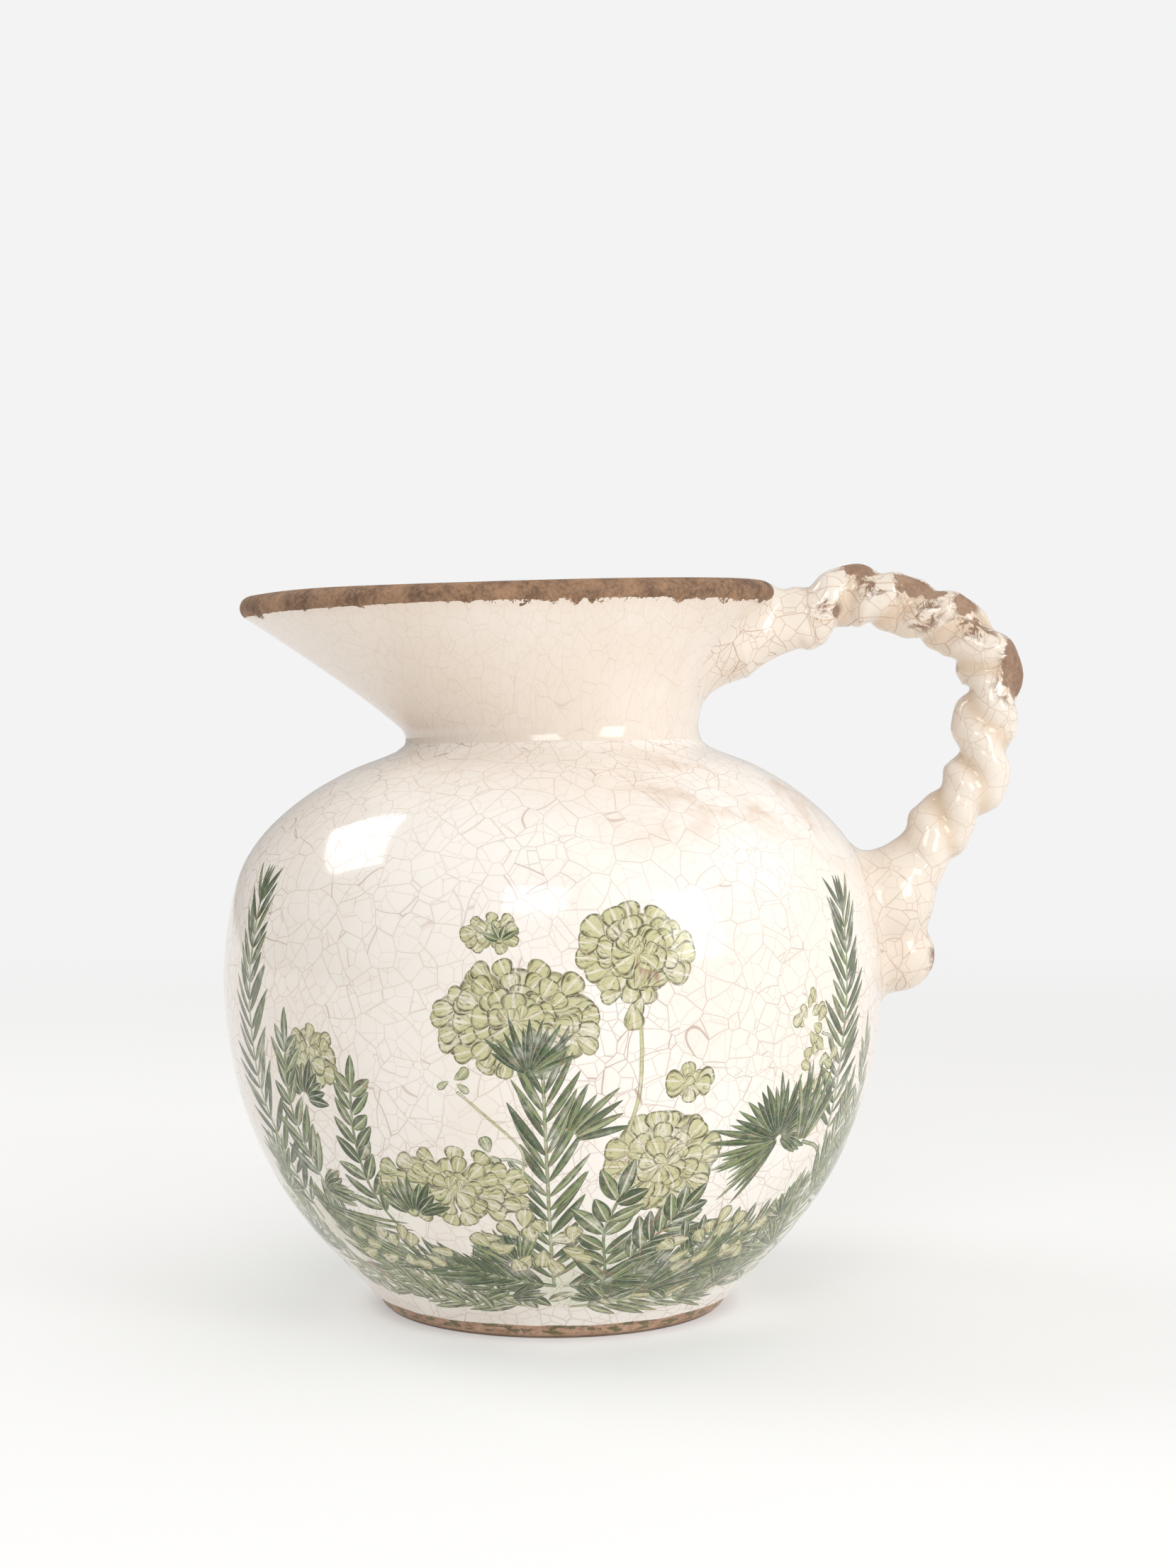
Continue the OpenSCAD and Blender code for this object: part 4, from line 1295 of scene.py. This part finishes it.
rootZ = rope["rootLevel"] * jug["neckH"]
rootAt = np.array([float(radiusAt(rootZ)) + 3, -rope["skew"], rootZ])
buttonZ = rootZ - 0.63 * (rope["rootR"] + rope["buttonR"])
buttonAt = np.array([float(radiusAt(buttonZ)) + 4, -rope["skew"], buttonZ])
ropeStart = np.array([collar["rimBack"] + rope["startGap"], 0, rimZ(collar["rimBack"]) - rope["radius"]])
ropeEnd = rootAt + (rope["rootR"] + rope["endGap"]) * unit(np.array([0.8, 0, 1.0]))
ropeLine = alongCurve(smoothCurve(
    [ropeStart]
    + [(jug["bodyR"] + rope["out"] * u, -rope["skew"] * (1 - min(1, v)), mix(rootZ, ropeStart[2], v))
       for u, v in rope["route"]] + [ropeEnd], 24), rope["samples"])
ropeHeading = unit(np.gradient(ropeLine, axis=0))
ropeStep = lengthAlong(ropeLine)[-1] / (rope["samples"] - 1)
ropeSide = unit(np.cross(ropeHeading, [0, 1, 0]))
ropeFront = np.cross(ropeSide, ropeHeading)
wadFoot = collarPoint(np.array([0.0]), np.array([rope["wadAt"]]))[0]
wadAxis = unit(ropeStart - wadFoot)


def nearRope(points):
    # for each point: share of the line's length, distance past the end, off it and angle round it
    best = np.full(len(points), 1e9)
    index = np.zeros(len(points), int)

    def compare(sample):
        far = ((points - ropeLine[sample])**2).sum(1)
        closer = far < best
        best[closer] = far[closer]
        index[closer] = np.broadcast_to(sample, len(points))[closer]

    for i in range(0, rope["samples"], 2):
        compare(i)
    for step in (-1, 1):
        compare(np.clip(index + step, 0, rope["samples"] - 1))
    v = points - ropeLine[index]
    ahead = (v * ropeHeading[index]).sum(1)
    side, front = (v * ropeSide[index]).sum(1), (v * ropeFront[index]).sum(1)
    share = (index + np.clip(ahead / ropeStep, -0.6, 0.6)) / (rope["samples"] - 1)
    return share, ahead, np.hypot(side, front), np.arctan2(front, side)


def softMin(a, b, reach):
    k = np.clip(0.5 + 0.5 * (b - a) / reach, 0, 1)
    return mix(b, a, k) - reach * k * (1 - k)


def softMax(a, b, reach):
    return -softMin(-a, -b, reach)


def twistAt(share):
    return np.radians(rope["firstTurn"] + 180 * rope["halfTurns"] * share)


def strandField(points):
    share, ahead, off, angle = nearRope(points)
    twist = twistAt(share)
    swell = 1 + 0.05 * np.sin(share * 41 + 1.0) + 0.03 * np.sin(share * 97)
    strandR = rope["strandR"] * swell
    apart = rope["radius"] - rope["strandR"]
    px, py = off * np.cos(angle - twist), off * np.sin(angle - twist)
    one = np.hypot(px - apart, py) - strandR
    two = np.hypot(px + apart, py) - strandR
    field = softMin(one, two, rope["valley"]) + rope["shrink"]
    nearEnd = (share < 0.5 / rope["samples"]) | (share > 1 - 0.5 / rope["samples"])
    past = np.where(nearEnd, np.abs(ahead), 0)
    return softMax(field, past - 3, 2.0)


def rootField(points):
    # clay pressed on to the globe, drawn up to the rope, with the button under it
    v = points - rootAt
    ball = np.linalg.norm(v * [1.0, 1.0, 0.95], axis=1) - rope["rootR"] + 0.4
    ropeWay = ropeEnd - rootAt
    k = np.clip((v @ ropeWay) / (ropeWay @ ropeWay), 0, 1.15)
    neck = np.linalg.norm(v - k[:, None] * ropeWay, axis=1) - mix(rope["rootNeck"], rope["radius"] - 1.2, k)
    button = np.linalg.norm((points - buttonAt) * [0.97, 1, 1.0], axis=1) - rope["buttonR"] + 0.25
    return softMin(softMin(ball, neck, 4.0), button, 3.0)


def wadField(points):
    v = points - wadFoot
    length = float(np.linalg.norm(ropeStart - wadFoot))
    k = np.clip((v @ wadAxis) / length, -0.3, 1.1)
    centre = wadFoot + (k * length)[:, None] * wadAxis
    d = points - centre
    upWay = unit(np.cross(wadAxis, [0, 1, 0]))
    lift, wide = d @ upWay, d[:, 1]
    share = np.clip(k, 0, 1)
    waist = 1 - 0.6 * share * (1 - share)
    tall, broad = (mix(a, b, share) * waist for a, b in zip(rope["wadFrom"], rope["wadTo"]))
    tube = (np.hypot(lift / tall, wide / broad) - 1) * np.minimum(tall, broad)
    return softMax(tube, (v @ wadAxis) - length - 3.0, 5.0)


def jugField(points):
    # signed distance to the globe, the collar's outside and the lip, near the handle
    off = np.hypot(points[:, 0], points[:, 1])
    angle = np.arctan2(points[:, 1], points[:, 0])
    leaning = smoothStep(points[:, 2], jug["tiltLow"], jug["neckH"])
    z = points[:, 2] - jug["creaseSlope"] * points[:, 0] * leaning
    far = np.interp(z, outline[:, 1], outlineFar)
    r = radiusAt(z) - thrownDip(angle + math.pi / 2, far)
    dr = radiusAt(z + 1) - radiusAt(z - 1)
    body = (off - r) / np.sqrt(1 + (dr / 2)**2)
    body = np.where(z > jug["neckH"], 50.0, body)
    mouth = mouthPoint(angle)
    low = jug["neckH"] + jug["creaseSlope"] * points[:, 0]
    t = np.clip((points[:, 2] - low) / (mouth[:, 2] - low), 0.01, 1)
    wallPoint = collarPoint(angle, t)
    out = collarOut(angle, t)
    wallOff = (off - np.hypot(wallPoint[:, 0], wallPoint[:, 1])) * np.hypot(out[:, 0], out[:, 1])
    wallOff = np.where(points[:, 2] < low - 1, 50.0, wallOff)
    around = np.radians(np.linspace(-40, 40, 41))
    lip = np.full(len(points), 1e9)
    for p in lipCentre(around):
        lip = np.minimum(lip, ((points - p)**2).sum(1))
    lip = np.sqrt(lip) - collar["lipR"]
    above = smoothStep(points[:, 2], mouth[:, 2] - 0.5, mouth[:, 2] + 0.5)
    wallOff = mix(wallOff, np.maximum(wallOff, lip), above)
    return np.minimum(body, wallOff)


def handleField(points):
    strands = strandField(points)
    ends = softMin(rootField(points), wadField(points), 0.5)
    return softMin(strands, ends, 2.2)


def wholeField(points):
    return softMin(handleField(points), jugField(points), rope["weld"])


def surfaceNet(field, low, step):
    # one point in each cell that the surface crosses, and a quad round each crossed edge
    solid = field < 0
    shape = tuple(n - 1 for n in field.shape)
    corners = [(i, j, k) for i in (0, 1) for j in (0, 1) for k in (0, 1)]
    total = np.zeros(shape, int)
    for i, j, k in corners:
        total += solid[i:i + shape[0], j:j + shape[1], k:k + shape[2]]
    cells = (total > 0) & (total < 8)
    where = np.argwhere(cells)
    number = np.full(shape, -1)
    number[cells] = np.arange(len(where))
    crossings, hits = np.zeros((len(where), 3)), np.zeros(len(where))
    for c in corners:
        for axis in range(3):
            if c[axis]:
                continue
            way = np.eye(3, dtype=int)[axis]
            va, vb = field[tuple((where + c).T)], field[tuple((where + c + way).T)]
            crossed = (va < 0) != (vb < 0)
            k = np.where(crossed, va / np.where(crossed, va - vb, 1), 0)
            spot = np.array(c, float) + k[:, None] * way
            crossings[crossed] += spot[crossed]
            hits[crossed] += 1
    points = low + (where + crossings / hits[:, None]) * step
    quads = []
    for axis in range(3):
        b, c = (axis + 1) % 3, (axis + 2) % 3
        edge = solid != np.roll(solid, -1, axis)
        at = np.argwhere(edge[tuple(slice(1, n - 1) for n in field.shape)]) + 1
        around = []
        for db, dc in ((0, 0), (-1, 0), (-1, -1), (0, -1)):
            back = np.zeros(3, int)
            back[b], back[c] = db, dc
            around.append(number[tuple((at + back).T)])
        quad = np.stack(around, 1)
        flip = ~solid[tuple(at.T)]
        quad[flip] = quad[flip][:, ::-1]
        quads.append(quad[(quad >= 0).all(1)])
    return points, np.vstack(quads)


def settle(points, rounds=3):
    # moves points on to the zero surface of the whole field
    nudge = 0.2
    for _ in range(rounds):
        value = wholeField(points)
        slope = np.stack([(wholeField(points + e) - wholeField(points - e)) / (2 * nudge)
                          for e in np.eye(3) * nudge], 1)
        size = np.maximum((slope**2).sum(1), 0.2)
        points = points - np.clip(value / size, -0.6, 0.6)[:, None] * slope
    return points, unit(slope)


wear = {
    # middle of each rubbed place on the outer ridges, and how far it reaches
    "spots": [((89, -4, 213.5), (5, 6, 3.6)), ((106, -6, 208), (8, 5, 3.9)),
              ((119, -6, 203), (3.5, 5, 3.6)), ((134.5, -6, 184.5), (5.2, 6.5, 10)),
              ((112, -7, 99), (3.4, 6, 9))],
    # dirt rubbed into the cracks beside them
    "smears": [((92, -8, 208), (5, 6, 5)), ((106, -9, 200), (6, 6, 7)), ((122, -9, 196), (9, 6, 5)),
               ((131, -9, 178), (5, 6, 5)), ((79, -9, 200), (5, 5, 4))],
    "dirtReach": 2.6,
}


def handleSurface():
    # the field is sampled coarsely first, and finely only near its surface
    step, coarse = rope["voxel"], rope["coarse"]
    low, high = np.array(rope["low"]), np.array(rope["high"])
    blocks = np.ceil((high - low) / (step * coarse)).astype(int)
    axes = [low[i] + (np.arange(blocks[i]) + 0.5) * step * coarse for i in range(3)]
    middles = np.stack(np.meshgrid(*axes, indexing="ij"), -1).reshape(-1, 3)
    rough = wholeField(middles).reshape(blocks)
    fine = np.where(rough < 0, -9.0, 9.0)
    near = np.abs(rough) < step * coarse * rope["nearCells"]
    for axis in range(3):
        fine, near = np.repeat(fine, coarse, axis), np.repeat(near, coarse, axis)
    at = np.argwhere(near)
    fine[tuple(at.T)] = wholeField(low + at * step)
    points, quads = surfaceNet(fine, low, step)
    points, normals = settle(points)
    # only the handle's own side of the joint is kept, without the box's cut faces
    keep = (jugField(points) > 0.02) & (handleField(points) < rope["weld"] * 1.02)
    keep &= (points > low + step).all(1) & (points < high - step).all(1)
    quads, used = usedOnly(quads[keep[quads].all(1)])
    points, normals = points[used], normals[used]
    quads, used = largestPart(quads, len(points))
    points, normals = points[used], normals[used]
    return tuckEdge(points, normals, quads), normals, quads


def usedOnly(quads):
    # quads numbered afresh, and the old numbers of the points they use
    used, where = np.unique(quads.ravel(), return_inverse=True)
    return where.reshape(-1, 4), used


def buildHandle():
    points, normals, quads = handleSurface()
    made = makeObject("ropeHandle", points, quads, finishes["worn"], None, normals)
    share, _, off, angle = nearRope(points)
    onRope = np.maximum(0, 1 - np.maximum(0, rootShare(points)))
    # groove mask: where glaze pools between the strands, also used as painted shade
    groove = np.abs(np.sin(angle - twistAt(share)))**3
    groove = groove * smoothStep(off, rope["radius"], rope["radius"] * 0.72)
    pointValues(made, "groove", groove * onRope)
    toWear = np.full(len(points), 40.0)
    for spot, reach in wear["spots"]:
        d = np.linalg.norm((points - spot) / reach, axis=1)
        toWear = np.minimum(toWear, (d - 1) * min(reach))
    pointValues(made, "toWear", toWear)
    dirt = 0.75 * np.exp(-np.maximum(0, toWear) / wear["dirtReach"])
    for spot, reach in wear["smears"]:
        dirt = np.maximum(dirt, np.exp(-(((points - spot) / reach)**2).sum(1)))
    pointValues(made, "dirt", dirt)
    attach(made, "root")
    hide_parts("upper_handle_root", "handle_strand_1", "handle_strand_2", "lower_handle_root",
                "handle_button")
    print("handle:", len(quads), "faces")


def tuckEdge(points, normals, quads):
    # the open edge goes just under the glaze it meets
    sides = np.sort(np.vstack([quads[:, [a, (a + 1) % 4]] for a in range(4)]), 1)
    pairs, times = np.unique(sides, axis=0, return_counts=True)
    edge = np.unique(pairs[times == 1])
    out = points.copy()
    out[edge] -= normals[edge] * rope["tuck"]
    return out


def rootShare(points):
    # 0 on the rope, 1 on the clay pressed round its ends
    return smoothStep(strandField(points) - np.minimum(rootField(points), wadField(points)), -1.5, 1.5)


def largestPart(quads, count):
    # drops specks: keeps only the faces joined to the biggest group
    label = np.arange(count)
    for _ in range(400):
        lowest = label[quads].min(1)
        fresh = label.copy()
        np.minimum.at(fresh, quads.ravel(), np.repeat(lowest, 4))
        fresh = fresh[fresh]
        if (fresh == label).all():
            break
        label = fresh
    names, sizes = np.unique(label[quads[:, 0]], return_counts=True)
    return usedOnly(quads[label[quads[:, 0]] == names[np.argmax(sizes)]])


buildHandle()


studio = {
    "backdrop": 0.896,     # what the camera sees behind the jug
    "fillLeft": 0.22,      # what the jug sees of the white room on either side
    "fillRight": 0.92,
    "fillTop": 0.20,
    "floorTone": 0.62,
    "floorGlow": 0.33,
    "floorGap": 0.02,      # the foot's standing face is just clear of the paper
    "floorRings": [0.01, 0.3, 0.6, 1.0, 1.6, 2.6, 4.5, 9.0],   # metres from the jug's middle
    "floorColumns": 64,
    # azimuth from the front towards the handle, elevation, distance, width and height (m), glow, roll
    "lights": {
        "windowRight": (48, 18.6, 1.10, 0.36, 0.48, 5.4, 4),
        "windowCentre": (-6, 30, 1.20, 0.42, 0.36, 5.0, -6),
        "windowLeft": (-105, 44, 1.10, 0.62, 0.36, 4.6, -20),
    },
    "aim": (0, 0, 120),
}


def addWorld():
    world = bpy.data.worlds.new("whiteRoom")
    world.use_nodes = True
    tree = world.node_tree
    tree.nodes.clear()
    seen = put(tree, "ShaderNodeBackground", {"Color": (studio["backdrop"],) * 3 + (1,), "Strength": 1.0})
    way = put(tree, "ShaderNodeSeparateXYZ", {0: tree.nodes.new("ShaderNodeTexCoord").outputs["Generated"]})
    sideways = between(tree, way.outputs[0], -1.0, 1.0, studio["fillLeft"], studio["fillRight"])
    overhead = between(tree, way.outputs[2], 0.15, 0.95, 0.0, studio["fillTop"])
    felt = put(tree, "ShaderNodeBackground", {"Color": (1.0, 0.985, 0.965, 1),
                                              "Strength": plus(tree, sideways, overhead)})
    path = tree.nodes.new("ShaderNodeLightPath").outputs["Is Camera Ray"]
    both = put(tree, "ShaderNodeMixShader", {0: path, 1: felt.outputs[0], 2: seen.outputs[0]})
    out = tree.nodes.new("ShaderNodeOutputWorld")
    tree.links.new(both.outputs[0], out.inputs[0])
    scene.world = world


def addFloor():
    rings, columns = studio["floorRings"], studio["floorColumns"]
    angle = roundAngles(columns)
    profile = np.array([(r / mm, -studio["floorGap"]) for r in rings])
    points = spun(profile, angle).reshape(-1, 3)
    faces = [f[::-1] for f in ringFaces(len(rings), columns)] + [tuple(range(columns))]
    material, tree, shader, point = startMaterial("paperFloor")
    tone = studio["floorTone"]
    shader.inputs["Roughness"].default_value = 1.0
    shader.inputs["Specular IOR Level"].default_value = 0.0
    off = put(tree, "ShaderNodeVectorMath", {0: point}, operation="LENGTH").outputs["Value"]
    away = between(tree, off, 0.25, 1.3)
    grey = blendColour(tree, away, (tone, tone, tone * 0.99, 1), (0, 0, 0, 1))
    glow = blendColour(tree, away, (studio["floorGlow"],) * 3 + (1,), (studio["backdrop"],) * 3 + (1,))
    tree.links.new(grey, shader.inputs["Base Color"])
    tree.links.new(glow, shader.inputs["Emission Color"])
    shader.inputs["Emission Strength"].default_value = 1.0
    # nothing of it is seen from below, so that the underside of the foot can be
    clear = tree.nodes.new("ShaderNodeBsdfTransparent")
    behind = tree.nodes.new("ShaderNodeNewGeometry").outputs["Backfacing"]
    both = put(tree, "ShaderNodeMixShader", {0: behind, 1: shader.outputs[0], 2: clear.outputs[0]})
    tree.links.new(both.outputs[0], tree.nodes["Material Output"].inputs[0])
    makeObject("floor", points, faces, material)


def addLights():
    aim = Vector(studio["aim"]) * mm
    for name, (azimuth, elevation, distance, wide, tall, glow, roll) in studio["lights"].items():
        data = bpy.data.lights.new(name, "AREA")
        data.shape = "RECTANGLE"
        data.size, data.size_y = wide, tall
        data.energy = glow * math.pi * wide * tall
        lamp = bpy.data.objects.new(name, data)
        a, e = math.radians(azimuth), math.radians(elevation)
        way = Vector((math.sin(a) * math.cos(e), -math.cos(a) * math.cos(e), math.sin(e)))
        lamp.location = aim + way * distance
        lamp.rotation_euler = (-way).to_track_quat("-Z", "Y").to_euler()
        lamp.rotation_euler.rotate_axis("Z", math.radians(roll))
        scene.collection.objects.link(lamp)


addWorld()
addFloor()
addLights()
scene.view_settings.view_transform = "Standard"
print("studio lit")
